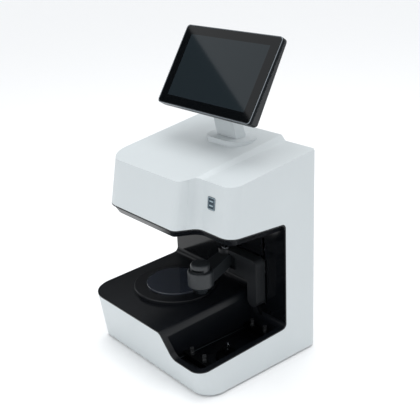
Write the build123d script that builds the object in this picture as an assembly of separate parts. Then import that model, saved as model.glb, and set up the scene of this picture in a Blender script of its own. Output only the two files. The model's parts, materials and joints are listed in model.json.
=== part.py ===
from build123d import *
import math
import os

# Lens centring, blocking and tracing unit, in millimetres.
# +Z up, +X to the right of the operator, -Y towards the operator.
# The origin is on the table top, under the middle of the casing.

# ---------------------------------------------------------------- casing
BODY_WIDTH = 338.0
BODY_DEPTH = 316.0
FOOT_HEIGHT = 4.0
SHELL_WALL = 3.0
LINING = 2.5
GAP = 0.3
REAR_CORNER_RADIUS = 8.0

DECK_HEIGHT = 119.0
TRAY_RIM_HEIGHT = 63.0
BASE_TOE_SETBACK = 31.0
FLOOR_SLOPE = 2.8
STEP_TOP_X = 76.0
STEP_BOTTOM_X = 92.0
STEP_TOP_RADIUS = 9.0
STEP_BOTTOM_RADIUS = 16.0
BASE_LEFT_RADIUS_LOW = 10.0
BASE_LEFT_RADIUS_DECK = 50.0
BASE_RIGHT_RADIUS_LOW = 38.0
BASE_RIGHT_RADIUS_RIM = 25.0

WALL_Y = 76.0
CEILING_HEIGHT = 290.0
CEILING_SLOPE = 3.0
BAY_CORNER_RADIUS = 10.0
COVE_STOP = 12.0

HEAD_FRONT_LEFT_Y = -105.8
HEAD_FRONT_RIGHT_Y = -59.7
HEAD_LEAN_LEFT = 0.208
HEAD_LEAN_RIGHT = 0.116
HEAD_EDGE_HEIGHT = 297.8
HEAD_STEP_OUTER_X = 66.0
HEAD_STEP_INNER_X = 84.0
HEAD_LEFT_RADIUS = 50.0
HEAD_STEP_OUTER_RADIUS = 14.0
HEAD_STEP_INNER_RADIUS = 20.0
HEAD_RIGHT_RADIUS = 24.0
HEAD_LIP = 6.0
HOLLOW_OVERRUN = 30.0
TOP_REAR_LEFT = 429.0
TOP_REAR_RIGHT = 419.0
TOP_SLOPE_LEFT = 0.1555
TOP_SLOPE_RIGHT = 0.1196
TOP_STEP_LEFT_X = 80.0
TOP_STEP_RIGHT_X = 90.0
TOP_STEP_RADIUS = 6.0

# ---------------------------------------------------------------- soffit under the head
SOFFIT_DROP = 16.0
SOFFIT_INSET_TOP = 3.0
SOFFIT_INSET_LOW = 15.0

# ---------------------------------------------------------------- lens table
TABLE_X = -48.0
TABLE_Y = -22.0
TABLE_RING_RADIUS = 86.0
TABLE_PLATE_RADIUS = 60.0
TABLE_RING_TOP = 130.6
TABLE_PLATE_TOP = 134.6
TABLE_RECESS_DEPTH = 14.0

# ---------------------------------------------------------------- lift and blocking arm
ARM_HEAD_X = 60.0
ARM_HEAD_Y = -42.0
ARM_PIVOT_Y = 56.0
ARM_HEIGHT = 183.0
ARM_HEAD_RADIUS = 25.0
CHUCK_BOTTOM = 156.0
LIFT_X = 110.0
SLOT_WIDTH = 7.0
SLOT_ROOM = 7.0
SLOT_BOTTOM = 104.0
SLOT_FOOT_X = 92.0
SLOT_FOOT_HEIGHT = 10.0
LIFT_DOWN = 18.0
LIFT_UP = 40.0
RAIL_RADIUS = 5.0
RAIL_SPACING = 56.0
RAIL_Y = 112.0
SCREW_RADIUS = 4.0
RUNNING_FIT = 0.05

# ---------------------------------------------------------------- tracer
WELL_LEFT_X = 80.0
WELL_RIM = 12.0
TRACER_FRONT_Y = -118.0
WELL_REAR_Y = 66.0
WELL_FLOOR = 26.0
WELL_WALL = 2.0
TRACER_X = 118.5
TRACER_Y = -31.0
TRACER_RAIL_RADIUS = 3.0
TRACER_RAIL_HEIGHT = 54.0

# ---------------------------------------------------------------- display
DISPLAY_WIDTH = 269.0
DISPLAY_LENGTH = 166.0
DISPLAY_TILT = 57.9
DISPLAY_EDGE_Y = 22.8
DISPLAY_EDGE_Z = 486.0
DISPLAY_THICK_LOW = 22.0
DISPLAY_THICK_TOP = 12.0
SCREEN_WIDTH = 222.7
SCREEN_HEIGHT = 125.3
HINGE_DROP = 34.0
HINGE_BACK = 32.0
HINGE_PIN_RADIUS = 4.0

SEAM_X = 75.0
MID_HEIGHT = 200.0
TABLE_LEDGE = 3.0
WINDOW_RADIUS = 26.0
REAR_COVER = 3.0
PAN_THICKNESS = 2.5
FOOT_INSET = 34.0
FOOT_RADIUS = 12.0
SCREW_HEAD = 3.0
SCREW_HEAD_HEIGHT = 1.6
SCREW_SHANK = 1.5
COVER_SCREW_INSET = 14.0
COVER_SCREW_HEIGHTS = (20.0, 210.0, 396.0)

# ---------------------------------------------------------------- rear cover and electrics
VENT_ROWS = 9
VENT_LOW = 270.0
VENT_PITCH = 9.0
VENT_LENGTH = 150.0
VENT_WIDTH = 3.5
FAN_X = -60.0
FAN_Z = 160.0
FAN_SIZE = 60.0
FAN_DEPTH = 15.0
FAN_SLOT = 4.0
FAN_WALL = 2.0
FAN_HUB_RADIUS = 12.0
FAN_PLATE_RADIUS = 16.0
FAN_BLADES = 7
FAN_SPOKE = 3.0
FAN_RING_RADII = (8.0, 15.0, 22.0, 27.0)
CONNECTOR_Z = 44.0
INLET_X = -125.0
INLET_WIDTH = 27.0
INLET_HEIGHT = 20.0
INLET_DEPTH = 22.0
INLET_WALL = 2.0
INLET_PIN_PLACES = ((-7.0, -3.0), (7.0, -3.0), (0.0, 3.0))
SWITCH_X = -104.2
SWITCH_WIDTH = 15.0
SWITCH_HEIGHT = 21.0
SWITCH_DEPTH = 14.0
SWITCH_WALL = 1.5
ROCKER_PLAY = 0.5
ROCKER_PIVOT = 5.0
ROCKER_PIN_RADIUS = 1.2
ROCKER_PIN_REACH = 1.2
PORTS_X = -40.0
PORTS_WIDTH = 52.0
PORTS_HEIGHT = 17.0
PORTS_DEPTH = 17.5
PORTS_WALL = 2.0
NETWORK_SOCKET_WIDTH = 14.0
DATA_SOCKET_WIDTH = 13.0
DATA_SOCKET_HEIGHT = 6.0
DATA_SOCKET_GAP = 3.0
STANDOFF = 3.0
SUPPLY_X = -155.0
SUPPLY_Y = -60.0
SUPPLY_WIDTH = 62.0
SUPPLY_LENGTH = 110.0
SUPPLY_HEIGHT = 38.0
SUPPLY_GROOVES = 6
BOARD_X = -80.0
BOARD_Y = 0.0
BOARD_WIDTH = 110.0
BOARD_LENGTH = 76.0
BOARD_THICKNESS = 1.6
BOARD_CHIPS = (
    (12.0, 14.0, 28.0, 28.0, 3.0),
    (56.0, 14.0, 14.0, 20.0, 2.0),
    (10.0, 62.0, 50.0, 8.0, 9.0),
    (76.0, 10.0, 8.0, 50.0, 9.0),
)
SHEET = 2.0
UPRIGHT_HALF = 70.0
UPRIGHT_Y = 82.0
UPRIGHT_DEPTH = 30.0
UPRIGHT_LOW = 7.0
UPRIGHT_HIGH = 384.0
BEAM_WIDTH = 60.0
BEAM_FLANGE = 14.0
BEAM_TAB = 30.0
COLUMN_WINDOWS = ((60.0, 120.0, 250.0), (40.0, 290.0, 340.0))
CAMERA_Z = 330.0
CAMERA_SIZE = 38.0
LENS_RADIUS = 15.0
WINDOW_GLASS = 2.0

# ---------------------------------------------------------------- details of the moving pieces
TABLE_RING_THICKNESS = 9.5
PLATE_THICKNESS = 4.0
LIGHT_DEPTH = 20.0
RAIL_LOW = 64.0
RAIL_TOP = 268.0
RAIL_MARGIN = 12.0
SUPPORT_HEIGHT = 16.0
LINK_PLAY = 0.5
LIFT_MOTOR_SIZE = 42.0
MOTOR_TOP = 46.0
CARRIAGE_HEIGHT = 34.0
NUT_RADIUS = 9.0
SADDLE_REAR_Y = 73.0
SADDLE_DEPTH = 24.0
SADDLE_HEIGHT = 46.0
SADDLE_STEP_ROOM = 2.0
SADDLE_RIGHT_X = 116.0
SADDLE_FLOOR_ROOM = 12.5
PIVOT_BOSS = 15.0
PIVOT_PIN = 6.0
SWEEP_ROOM = 34.0
ARM_THICKNESS = 28.0
ARM_ROOT_WIDTH = 26.0
ARM_TIP_WIDTH = 36.0
ARM_HEAD_TOP = 202.0
CHUCK_HEIGHT = 9.0
CHUCK_RADIUS = 16.0
CHUCK_SOCKET = 9.0
CHUCK_SHAFT = 4.0
MOTOR_CAN = 26.0
CAP_HEIGHT = 22.0
SPINDLE_RADIUS = 4.0
SLIDER_PARK = 8.0
SLIDER_WIDTH = 14.0
SLIDER_PLAY = 1.0
SLIDER_HEIGHT = 14.0
CLAMP_SPACING = 36.0
CLAMP_HEIGHT = 14.0
CLAMP_RADIUS = 4.0
TURNTABLE_RADIUS = 24.0
TURNTABLE_HEIGHT = 12.0
FEELER_GROOVE = 10.0
GROOVE_DEPTH = 5.0
FEELER_SLEEVE = 8.0
FEELER_RADIUS = 2.0
FEELER_TIP = 26.0
PULLEY_LOW = 12.0
PULLEY_HEIGHT = 9.0
TABLE_PULLEY_RADIUS = 20.0
MOTOR_PULLEY_RADIUS = 8.0
PULLEY_FLANGE = 1.0
PULLEY_LIP = 1.5
MOTOR_SHAFT = 2.5
TRACER_MOTOR_LENGTH = 34.0
TRACER_MOTOR_RADIUS = 17.5
BELT = 1.2
DISPLAY_CORNER = 8.0
FRAME_DEPTH = 8.0
RIM_WIDTH = 2.0
GLASS = 1.1
BACK_WALL = 2.0
BRACKET_SIZE = 60.0
HINGE_HALF = 28.0
KNUCKLE_HALF = 14.0
KNUCKLE_RADIUS = 9.0
NECK_Y = 100.0
NECK_DEPTH = 26.0
STAND_HEIGHT = 5.0
STAND_WIDTH = 110.0
STAND_LENGTH = 70.0
BADGE_X = 116.0
BADGE_Z = 355.0
BADGE_WIDTH = 20.0
BADGE_HEIGHT = 24.0
BADGE_THICKNESS = 0.8

# ---------------------------------------------------------------- derived values
PAN_TOP = FOOT_HEIGHT + PAN_THICKNESS
HALF = BODY_WIDTH / 2
FRONT_Y = -BODY_DEPTH / 2
REAR_Y = BODY_DEPTH / 2
FAR = 400.0
SLOPE = math.tan(math.radians(FLOOR_SLOPE))
UNDERCUT = BASE_TOE_SETBACK / (DECK_HEIGHT - FOOT_HEIGHT)
WELL_RIGHT_X = HALF - WELL_RIM
SLOT_TOP = ARM_HEIGHT + CARRIAGE_HEIGHT / 2 + LIFT_UP + SLOT_ROOM

parts = {}


def keep(name, shape):
    """File a finished piece under its node name."""
    parts[name] = shape
    return shape


# ================================================================ drawing helpers
def rounded_face(corners, plane=Plane.XY):
    """Flat face with straight runs and tangent arcs. Corners are (x, y, radius)."""
    count = len(corners)
    starts = []
    ends = []
    middles = []
    for index, (x, y, radius) in enumerate(corners):
        here = Vector(x, y)
        before = (Vector(*corners[index - 1][:2]) - here).normalized()
        after = (Vector(*corners[(index + 1) % count][:2]) - here).normalized()
        half_angle = math.radians(before.get_angle(after)) / 2
        reach = radius / math.tan(half_angle)
        inward = (before + after).normalized()
        starts.append(here + before * reach)
        ends.append(here + after * reach)
        middles.append(here + inward * (radius / math.sin(half_angle) - radius))
    edges = []
    for index, (x, y, radius) in enumerate(corners):
        if radius > 0:
            edges.append(Edge.make_three_point_arc(starts[index], middles[index], ends[index]))
        edges.append(Edge.make_line(ends[index], starts[(index + 1) % count]))
    face = Face(Wire(edges))
    if face.normal_at().Z < 0:
        face = -face
    return plane * face


def block(x_low, x_high, y_low, y_high, z_low, z_high):
    """Box between two corners."""
    size = Box(x_high - x_low, y_high - y_low, z_high - z_low)
    return Pos((x_low + x_high) / 2, (y_low + y_high) / 2, (z_low + z_high) / 2) * size


def rod(start, direction, length, radius):
    """Round bar from a point along a direction."""
    return Part(Solid.make_cylinder(radius, length, Plane(origin=start, z_dir=direction)).wrapped)


def tube(start, direction, length, outer, inner):
    """Round tube from a point along a direction."""
    return rod(start, direction, length, outer) - rod(start, direction, length, inner)


def rounded_block(x_low, x_high, y_low, y_high, z_low, z_high, radius):
    """Box with its four upright edges rounded."""
    outline = [
        (x_low, y_low, radius),
        (x_high, y_low, radius),
        (x_high, y_high, radius),
        (x_low, y_high, radius),
    ]
    return extrude(rounded_face(outline, Plane.XY.offset(z_low)), z_high - z_low)


def side_prism(corners, x_low, x_high):
    """Prism along X from corners given as (y, z, radius)."""
    face = rounded_face(corners, Plane(origin=(x_low, 0, 0), x_dir=(0, 1, 0), z_dir=(1, 0, 0)))
    return extrude(face, x_high - x_low)


def floor_height(y, level):
    """Height of the sloping bay floor at a depth, from its height at the front edge."""
    return level + (y - FRONT_Y) * SLOPE


def head_front_left(z):
    return HEAD_FRONT_LEFT_Y + HEAD_LEAN_LEFT * (z - HEAD_EDGE_HEIGHT)


def head_front_right(z):
    return HEAD_FRONT_RIGHT_Y + HEAD_LEAN_RIGHT * (z - HEAD_EDGE_HEIGHT)


def ceiling_height(y):
    return CEILING_HEIGHT + (WALL_Y - y) * math.tan(math.radians(CEILING_SLOPE))


# ================================================================ casing volumes
def base_section(z, inset, rear):
    """Plan outline of the base at a height."""
    rise = z - FOOT_HEIGHT
    front = FRONT_Y + BASE_TOE_SETBACK - rise * UNDERCUT + inset
    left_rate = (BASE_LEFT_RADIUS_DECK - BASE_LEFT_RADIUS_LOW) / (DECK_HEIGHT - FOOT_HEIGHT)
    right_rate = (BASE_RIGHT_RADIUS_RIM - BASE_RIGHT_RADIUS_LOW) / (TRAY_RIM_HEIGHT - FOOT_HEIGHT)
    left_radius = BASE_LEFT_RADIUS_LOW + rise * left_rate
    right_radius = BASE_RIGHT_RADIUS_LOW + rise * right_rate
    side = HALF - inset
    corner = max(REAR_CORNER_RADIUS - inset, 1.0)
    outline = [
        (-side, front, max(left_radius - inset, 1.0)),
        (side, front, max(right_radius - inset, 1.0)),
        (side, rear, corner),
        (-side, rear, corner),
    ]
    return rounded_face(outline, Plane.XY.offset(z))


def head_section(z, inset, rear):
    """Plan outline of the head at a height, with the soft step between its two fronts."""
    side = HALF - inset
    corner = max(REAR_CORNER_RADIUS - inset, 1.0)
    outline = [
        (-side, head_front_left(z) + inset, HEAD_LEFT_RADIUS - inset),
        (HEAD_STEP_OUTER_X - inset, head_front_left(z) + inset, HEAD_STEP_OUTER_RADIUS - min(inset, 8.0)),
        (HEAD_STEP_INNER_X - inset, head_front_right(z) + inset, HEAD_STEP_INNER_RADIUS + inset),
        (side, head_front_right(z) + inset, HEAD_RIGHT_RADIUS - inset),
        (side, rear, corner),
        (-side, rear, corner),
    ]
    return rounded_face(outline, Plane.XY.offset(z))


def above_top(inset):
    """Everything above the sloping top, which is higher on the left."""
    faces = []
    for y in (FRONT_Y - 20, REAR_Y + 20):
        left = TOP_REAR_LEFT + (y - REAR_Y) * TOP_SLOPE_LEFT - inset
        right = TOP_REAR_RIGHT + (y - REAR_Y) * TOP_SLOPE_RIGHT - inset
        right = min(right, left - 1.0)
        outline = [
            (-FAR, left, 0),
            (TOP_STEP_LEFT_X, left, TOP_STEP_RADIUS),
            (TOP_STEP_RIGHT_X, right, TOP_STEP_RADIUS),
            (FAR, right, 0),
            (FAR, FAR + 200, 0),
            (-FAR, FAR + 200, 0),
        ]
        faces.append(rounded_face(outline, Plane(origin=(0, y, 0), x_dir=(1, 0, 0), z_dir=(0, -1, 0))))
    return loft(faces, ruled=True)


def bay_void(grow):
    """Open bay between the head and the base, grown outwards by the lining."""
    start = FRONT_Y - 60
    lift = (start - FRONT_Y) * SLOPE
    deck = DECK_HEIGHT + lift - grow
    tray = TRAY_RIM_HEIGHT + lift - grow
    outline = [
        (-FAR, deck, 0),
        (STEP_TOP_X - grow, deck, STEP_TOP_RADIUS),
        (STEP_BOTTOM_X - grow, tray, STEP_BOTTOM_RADIUS),
        (FAR, tray, 0),
        (FAR, FAR, 0),
        (-FAR, FAR, 0),
    ]
    face = rounded_face(outline, Plane(origin=(0, start, 0), x_dir=(1, 0, 0), z_dir=(0, -1, 0)))
    angle = math.radians(FLOOR_SLOPE)
    channel = extrude(face, FAR, dir=(0, math.cos(angle), math.sin(angle)))
    side = [
        (-FAR, -FAR, 0),
        (WALL_Y + grow, -FAR, 0),
        (WALL_Y + grow, ceiling_height(WALL_Y) + grow, BAY_CORNER_RADIUS),
        (-FAR, ceiling_height(-FAR) + grow, 0),
    ]
    return channel & side_prism(side, -FAR, FAR) - bay_coves(grow)


def bay_coves(grow):
    """Rounded inner corner between the bay floor and the rear wall, on both levels."""
    radius = BAY_CORNER_RADIUS
    deck = (DECK_HEIGHT, -FAR, STEP_TOP_X - COVE_STOP)
    tray = (TRAY_RIM_HEIGHT, STEP_BOTTOM_X + COVE_STOP, FAR)
    wall = WALL_Y + grow
    pieces = []
    for level, x_low, x_high in (deck, tray):
        floor = floor_height(WALL_Y, level) - grow
        corner = block(x_low, x_high, wall - radius, wall + 1, floor - 2, floor + radius)
        round_bar = rod((x_low, wall - radius, floor + radius), (1, 0, 0), x_high - x_low, radius)
        pieces.append(corner - round_bar)
    return pieces[0] + pieces[1]


def body_volume(inset):
    """Solid C-shaped body. With an inset it runs on past the rear and the bottom, as the hollow does."""
    overrun = 0 if inset == 0 else HOLLOW_OVERRUN
    rear = REAR_Y + overrun
    low = FOOT_HEIGHT - overrun
    base_high = DECK_HEIGHT + HOLLOW_OVERRUN
    base = loft([base_section(low, inset, rear), base_section(base_high, inset, rear)], ruled=True)
    head_low = CEILING_HEIGHT - HEAD_LIP
    head_high = TOP_REAR_LEFT + HEAD_LIP
    head = loft([head_section(head_low, inset, rear), head_section(head_high, inset, rear)], ruled=True)
    corner = max(REAR_CORNER_RADIUS - inset, 1.0)
    outline = [
        (-HALF + inset, WALL_Y - 20, 1.0),
        (HALF - inset, WALL_Y - 20, 1.0),
        (HALF - inset, rear, corner),
        (-HALF + inset, rear, corner),
    ]
    column_low = DECK_HEIGHT - 20
    column = extrude(rounded_face(outline, Plane.XY.offset(column_low)), CEILING_HEIGHT + 20 - column_low)
    return base + column + head - above_top(inset)


# ================================================================ casing pieces
def make_casing():
    """Two white shells, the black bay lining, the base pan, the rear cover and the feet."""
    outer = body_volume(0)
    casing = outer - bay_void(LINING) - body_volume(SHELL_WALL)
    keep("left_shell", casing & block(-FAR, SEAM_X, -FAR, FAR, 0, 2 * FAR))
    keep("right_shell", casing & block(SEAM_X, FAR, -FAR, FAR, 0, 2 * FAR))

    skin = (bay_void(LINING) - bay_void(0)) & outer
    well = well_volume(0) & block(-FAR, FAR, -FAR, FAR, TRAY_RIM_HEIGHT - LINING - 10, FAR)
    seat = TABLE_RING_TOP - TABLE_RING_THICKNESS
    recess = rod((TABLE_X, TABLE_Y, 0), (0, 0, 1), FAR, TABLE_RING_RADIUS - TABLE_LEDGE)
    recess += rod((TABLE_X, TABLE_Y, seat), (0, 0, 1), FAR, TABLE_RING_RADIUS + GAP)
    floor = skin & block(-FAR, FAR, -FAR, WALL_Y, 0, MID_HEIGHT)
    keep("bay_floor", floor - well - recess)

    slot = block(LIFT_X - SLOT_WIDTH / 2, LIFT_X + SLOT_WIDTH / 2, 0, FAR, SLOT_BOTTOM, SLOT_TOP)
    slot += block(SLOT_FOOT_X, LIFT_X + SLOT_WIDTH / 2, 0, FAR, SLOT_BOTTOM, SLOT_BOTTOM + SLOT_FOOT_HEIGHT)
    keep("bay_rear_wall", (skin & block(-FAR, FAR, WALL_Y, FAR, 0, FAR)) - slot)

    ceiling = skin & block(-FAR, FAR, -FAR, WALL_Y, MID_HEIGHT, FAR)
    window = rod((TABLE_X, TABLE_Y, 0), (0, 0, 1), FAR, WINDOW_RADIUS)
    tray = soffit_volume(0)
    inner = soffit_volume(LINING)
    keep("head_soffit", ceiling + tray - inner - window)

    inside = body_volume(SHELL_WALL + GAP)
    pan = inside & block(-FAR, FAR, -FAR, REAR_Y - REAR_COVER - GAP, FOOT_HEIGHT, PAN_TOP)
    for x, y in foot_places():
        pan -= rod((x, y, 0), (0, 0, 1), FAR, SCREW_SHANK + GAP / 2)
    keep("base_pan", pan)
    cover = inside & block(-FAR, FAR, REAR_Y - REAR_COVER, REAR_Y, FOOT_HEIGHT, FAR + 200)
    keep("rear_cover", cover - rear_openings())
    keep("feet", compound([foot(x, y) for x, y in foot_places()]))
    screws = [foot_screw(x, y) for x, y in foot_places()]
    screws += [cover_screw(x, z) for x, z in cover_screw_places()]
    keep("casing_screws", compound(screws))


def compound(pieces):
    """Group of separate solids in one node."""
    return Compound(children=[Part(piece.wrapped) for piece in pieces])


def soffit_outline(inset):
    """Plan outline of the soffit tray, measured back from the bay's rear wall."""
    left = head_front_left(CEILING_HEIGHT) - WALL_Y + inset
    right = head_front_right(CEILING_HEIGHT) - WALL_Y + inset
    side = HALF - inset
    return [
        (-side, left, HEAD_LEFT_RADIUS - inset),
        (HEAD_STEP_OUTER_X - inset, left, HEAD_STEP_OUTER_RADIUS - inset / 3),
        (HEAD_STEP_INNER_X - inset, right, HEAD_STEP_INNER_RADIUS + inset / 3),
        (side, right, HEAD_RIGHT_RADIUS - inset / 2),
        (side, -GAP, 1.0),
        (-side, -GAP, 1.0),
    ]


def soffit_volume(wall):
    """Tapered tray under the head. With a wall it is the tray's hollow, open at the top."""
    angle = math.radians(CEILING_SLOPE)
    square = (0, math.sin(angle), math.cos(angle))
    level = Plane(origin=(0, WALL_Y, CEILING_HEIGHT), x_dir=(1, 0, 0), z_dir=square)
    raised = LINING + wall if wall else LINING / 2
    high = rounded_face(soffit_outline(SOFFIT_INSET_TOP + wall), level.offset(raised))
    low = rounded_face(soffit_outline(SOFFIT_INSET_LOW + wall), level.offset(wall - SOFFIT_DROP))
    return loft([high, low], ruled=True)


def foot_places():
    rear = REAR_Y - FOOT_INSET
    front = FRONT_Y + BASE_TOE_SETBACK + FOOT_INSET
    side = HALF - FOOT_INSET
    return [(-side, front), (side, front), (side, rear), (-side, rear)]


def foot(x, y):
    """Round rubber foot with a recess for its screw head."""
    pad = rod((x, y, 0), (0, 0, 1), FOOT_HEIGHT, FOOT_RADIUS)
    pad -= rod((x, y, 0), (0, 0, 1), FOOT_HEIGHT / 2, SCREW_HEAD + GAP)
    return pad - rod((x, y, 0), (0, 0, 1), FAR, SCREW_SHANK + GAP / 2)


def foot_screw(x, y):
    recess_top = FOOT_HEIGHT / 2
    head = rod((x, y, recess_top - SCREW_HEAD_HEIGHT), (0, 0, 1), SCREW_HEAD_HEIGHT, SCREW_HEAD)
    return head + rod((x, y, recess_top - 1), (0, 0, 1), PAN_TOP + 1, SCREW_SHANK)


def cover_screw_places():
    side = HALF - COVER_SCREW_INSET
    return [(sign * side, z) for sign in (-1, 1) for z in COVER_SCREW_HEIGHTS]


def cover_screw(x, z):
    head = rod((x, REAR_Y, z), (0, -1, 0), SCREW_HEAD_HEIGHT, SCREW_HEAD)
    shank = rod((x, REAR_Y - 1, z), (0, -1, 0), REAR_COVER + 5, SCREW_SHANK)
    socket = rod((x, REAR_Y, z), (0, -1, 0), SCREW_HEAD_HEIGHT / 2, SCREW_SHANK)
    return head + shank - socket


def rear_openings():
    """Vents, fan opening and the holes for the inlet, switch, ports and screws."""
    cuts = []
    for row in range(VENT_ROWS):
        z = VENT_LOW + row * VENT_PITCH
        cuts.append(block(-VENT_LENGTH / 2, VENT_LENGTH / 2, REAR_Y - 10, REAR_Y + 10, z, z + VENT_WIDTH))
    for ring in FAN_RING_RADII:
        circle = tube((FAN_X, REAR_Y - 10, FAN_Z), (0, 1, 0), 20, ring + FAN_SLOT / 2, ring - FAN_SLOT / 2)
        spokes = block(FAN_X - 2, FAN_X + 2, 0, FAR, FAN_Z - 60, FAN_Z + 60)
        spokes += block(FAN_X - 60, FAN_X + 60, 0, FAR, FAN_Z - 2, FAN_Z + 2)
        cuts.append(circle - spokes)
    cuts.append(rear_hole(INLET_X, INLET_WIDTH, INLET_HEIGHT))
    cuts.append(rear_hole(SWITCH_X, SWITCH_WIDTH, SWITCH_HEIGHT))
    cuts.append(rear_hole(PORTS_X, PORTS_WIDTH, PORTS_HEIGHT))
    for x, z in cover_screw_places():
        cuts.append(rod((x, REAR_Y + 1, z), (0, -1, 0), SCREW_HEAD_HEIGHT + 1, SCREW_HEAD + GAP / 2))
        cuts.append(rod((x, REAR_Y + 1, z), (0, -1, 0), FAR, SCREW_SHANK + GAP / 2))
    return cuts


def rear_hole(x, width, height):
    """Hole in the rear cover for a part that is centred on the connector line."""
    half_width = width / 2 + GAP
    low = CONNECTOR_Z - height / 2 - GAP
    high = CONNECTOR_Z + height / 2 + GAP
    return block(x - half_width, x + half_width, 0, FAR, low, high)


# ================================================================ frame and electrics
def make_frame():
    """Bent steel upright in the column and the beam that carries the camera."""
    half = UPRIGHT_HALF
    rear = UPRIGHT_Y + UPRIGHT_DEPTH
    upright = block(-half, half, UPRIGHT_Y, rear, UPRIGHT_LOW, UPRIGHT_HIGH)
    upright -= block(-half + SHEET, half - SHEET, UPRIGHT_Y - 1, rear - SHEET, 0, FAR)
    for half_width, low, high in COLUMN_WINDOWS:
        upright -= block(-half_width, half_width, 0, FAR, low, high)
    upright += block(-half, half, 0, rear, PAN_TOP, PAN_TOP + SHEET)
    beam_low = CAMERA_Z + CAMERA_SIZE
    beam_left = TABLE_X - BEAM_WIDTH / 2
    beam_right = TABLE_X + BEAM_WIDTH / 2
    beam_front = TABLE_Y - BEAM_WIDTH / 2
    upright += block(beam_left, beam_right, beam_front, UPRIGHT_Y + 1, beam_low, beam_low + SHEET)
    for left in (beam_left, beam_right - SHEET):
        upright += block(left, left + SHEET, TABLE_Y, UPRIGHT_Y + 1, beam_low - BEAM_FLANGE, beam_low)
    upright += block(beam_left, beam_right, UPRIGHT_Y - SHEET, UPRIGHT_Y, beam_low - BEAM_TAB, beam_low)
    keep("column_frame", upright)


def make_electrics():
    """Power entry, supply, board, fan and the ports on the rear cover."""
    low = PAN_TOP + STANDOFF
    keep("power_supply", supply_case(low))
    top = low + BOARD_THICKNESS
    board = [block(BOARD_X, BOARD_X + BOARD_WIDTH, BOARD_Y, BOARD_Y + BOARD_LENGTH, low, top)]
    for x, y, width, length, height in BOARD_CHIPS:
        left = BOARD_X + x
        front = BOARD_Y + y
        board.append(block(left, left + width, front, front + length, top, top + height))
    keep("control_board", compound(board))
    keep("fan_frame", fan_frame())
    keep("fan_rotor", fan_rotor())
    keep("power_entry", inlet_body() + switch_frame())
    keep("power_rocker", rocker())
    keep("port_block", port_block())


def fan_front():
    return REAR_Y - REAR_COVER - GAP - FAN_DEPTH


def fan_frame():
    """Square frame with a round duct, and spokes that carry the motor plate."""
    front = fan_front()
    half = FAN_SIZE / 2
    frame = block(FAN_X - half, FAN_X + half, front, front + FAN_DEPTH, FAN_Z - half, FAN_Z + half)
    frame -= rod((FAN_X, front - 1, FAN_Z), (0, 1, 0), FAN_DEPTH + 2, half - FAN_WALL)
    frame += rod((FAN_X, front, FAN_Z), (0, 1, 0), FAN_WALL, FAN_PLATE_RADIUS)
    for angle in (45, 135, 225, 315):
        spoke = block(FAN_PLATE_RADIUS - 1, half - 1, 0, FAN_WALL, -FAN_SPOKE / 2, FAN_SPOKE / 2)
        frame += Pos(FAN_X, front, FAN_Z) * Rot(0, angle, 0) * spoke
    return frame


def fan_rotor():
    """Hub with pitched blades that run clear of the duct."""
    front = fan_front()
    hub_length = FAN_DEPTH - 2 * FAN_WALL
    rotor = rod((FAN_X, front + FAN_WALL + GAP, FAN_Z), (0, 1, 0), hub_length, FAN_HUB_RADIUS)
    reach = FAN_SIZE / 2 - FAN_WALL - 5 * GAP
    middle = front + FAN_WALL + GAP + hub_length / 2
    for index in range(FAN_BLADES):
        blade = Rot(35, 0, 0) * block(FAN_HUB_RADIUS - 1, reach, -0.7, 0.7, -5, 5)
        rotor += Pos(FAN_X, middle, FAN_Z) * Rot(0, index * 360 / FAN_BLADES, 0) * blade
    return rotor


def supply_case(low):
    """Closed sheet case with a row of vent grooves in its lid."""
    right = SUPPLY_X + SUPPLY_WIDTH
    high = low + SUPPLY_HEIGHT
    case = block(SUPPLY_X, right, SUPPLY_Y, SUPPLY_Y + SUPPLY_LENGTH, low, high)
    for groove in range(1, SUPPLY_GROOVES + 1):
        y = SUPPLY_Y + groove * SUPPLY_LENGTH / (SUPPLY_GROOVES + 1)
        case -= block(SUPPLY_X + 12, right - 12, y - 2, y + 2, high - 1.5, FAR)
    return case


def inlet_body():
    """Three-pin mains inlet, flush with the outside of the rear cover."""
    back = REAR_Y - INLET_DEPTH
    sides = []
    for wall in (0.0, INLET_WALL):
        half_width = INLET_WIDTH / 2 - wall
        half_height = INLET_HEIGHT / 2 - wall
        sides.append(block(
            INLET_X - half_width, INLET_X + half_width, back + wall, REAR_Y + wall,
            CONNECTOR_Z - half_height, CONNECTOR_Z + half_height,
        ))
    body = sides[0] - sides[1]
    for x, z in INLET_PIN_PLACES:
        pin_x = INLET_X + x
        pin_z = CONNECTOR_Z + z
        body += block(pin_x - 1, pin_x + 1, back + 1, REAR_Y - 5, pin_z - 2, pin_z + 2)
    return body


def switch_frame():
    """Collar that the rocker tilts in, with a hole in each side for its pivot pins."""
    half_width = SWITCH_WIDTH / 2
    half_height = SWITCH_HEIGHT / 2
    back = REAR_Y - SWITCH_DEPTH
    frame = block(
        SWITCH_X - half_width, SWITCH_X + half_width, back, REAR_Y,
        CONNECTOR_Z - half_height, CONNECTOR_Z + half_height,
    )
    half_width -= SWITCH_WALL
    half_height -= SWITCH_WALL
    pocket = block(
        SWITCH_X - half_width, SWITCH_X + half_width, back + SWITCH_WALL, FAR,
        CONNECTOR_Z - half_height, CONNECTOR_Z + half_height,
    )
    return frame - pocket - rocker_pins(ROCKER_PIN_RADIUS + RUNNING_FIT, SWITCH_WIDTH / 2)


def rocker_pins(radius, reach):
    """Bar on the rocker's tilt axis."""
    return rod((SWITCH_X - reach, REAR_Y - ROCKER_PIVOT, CONNECTOR_Z), (1, 0, 0), 2 * reach, radius)


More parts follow.
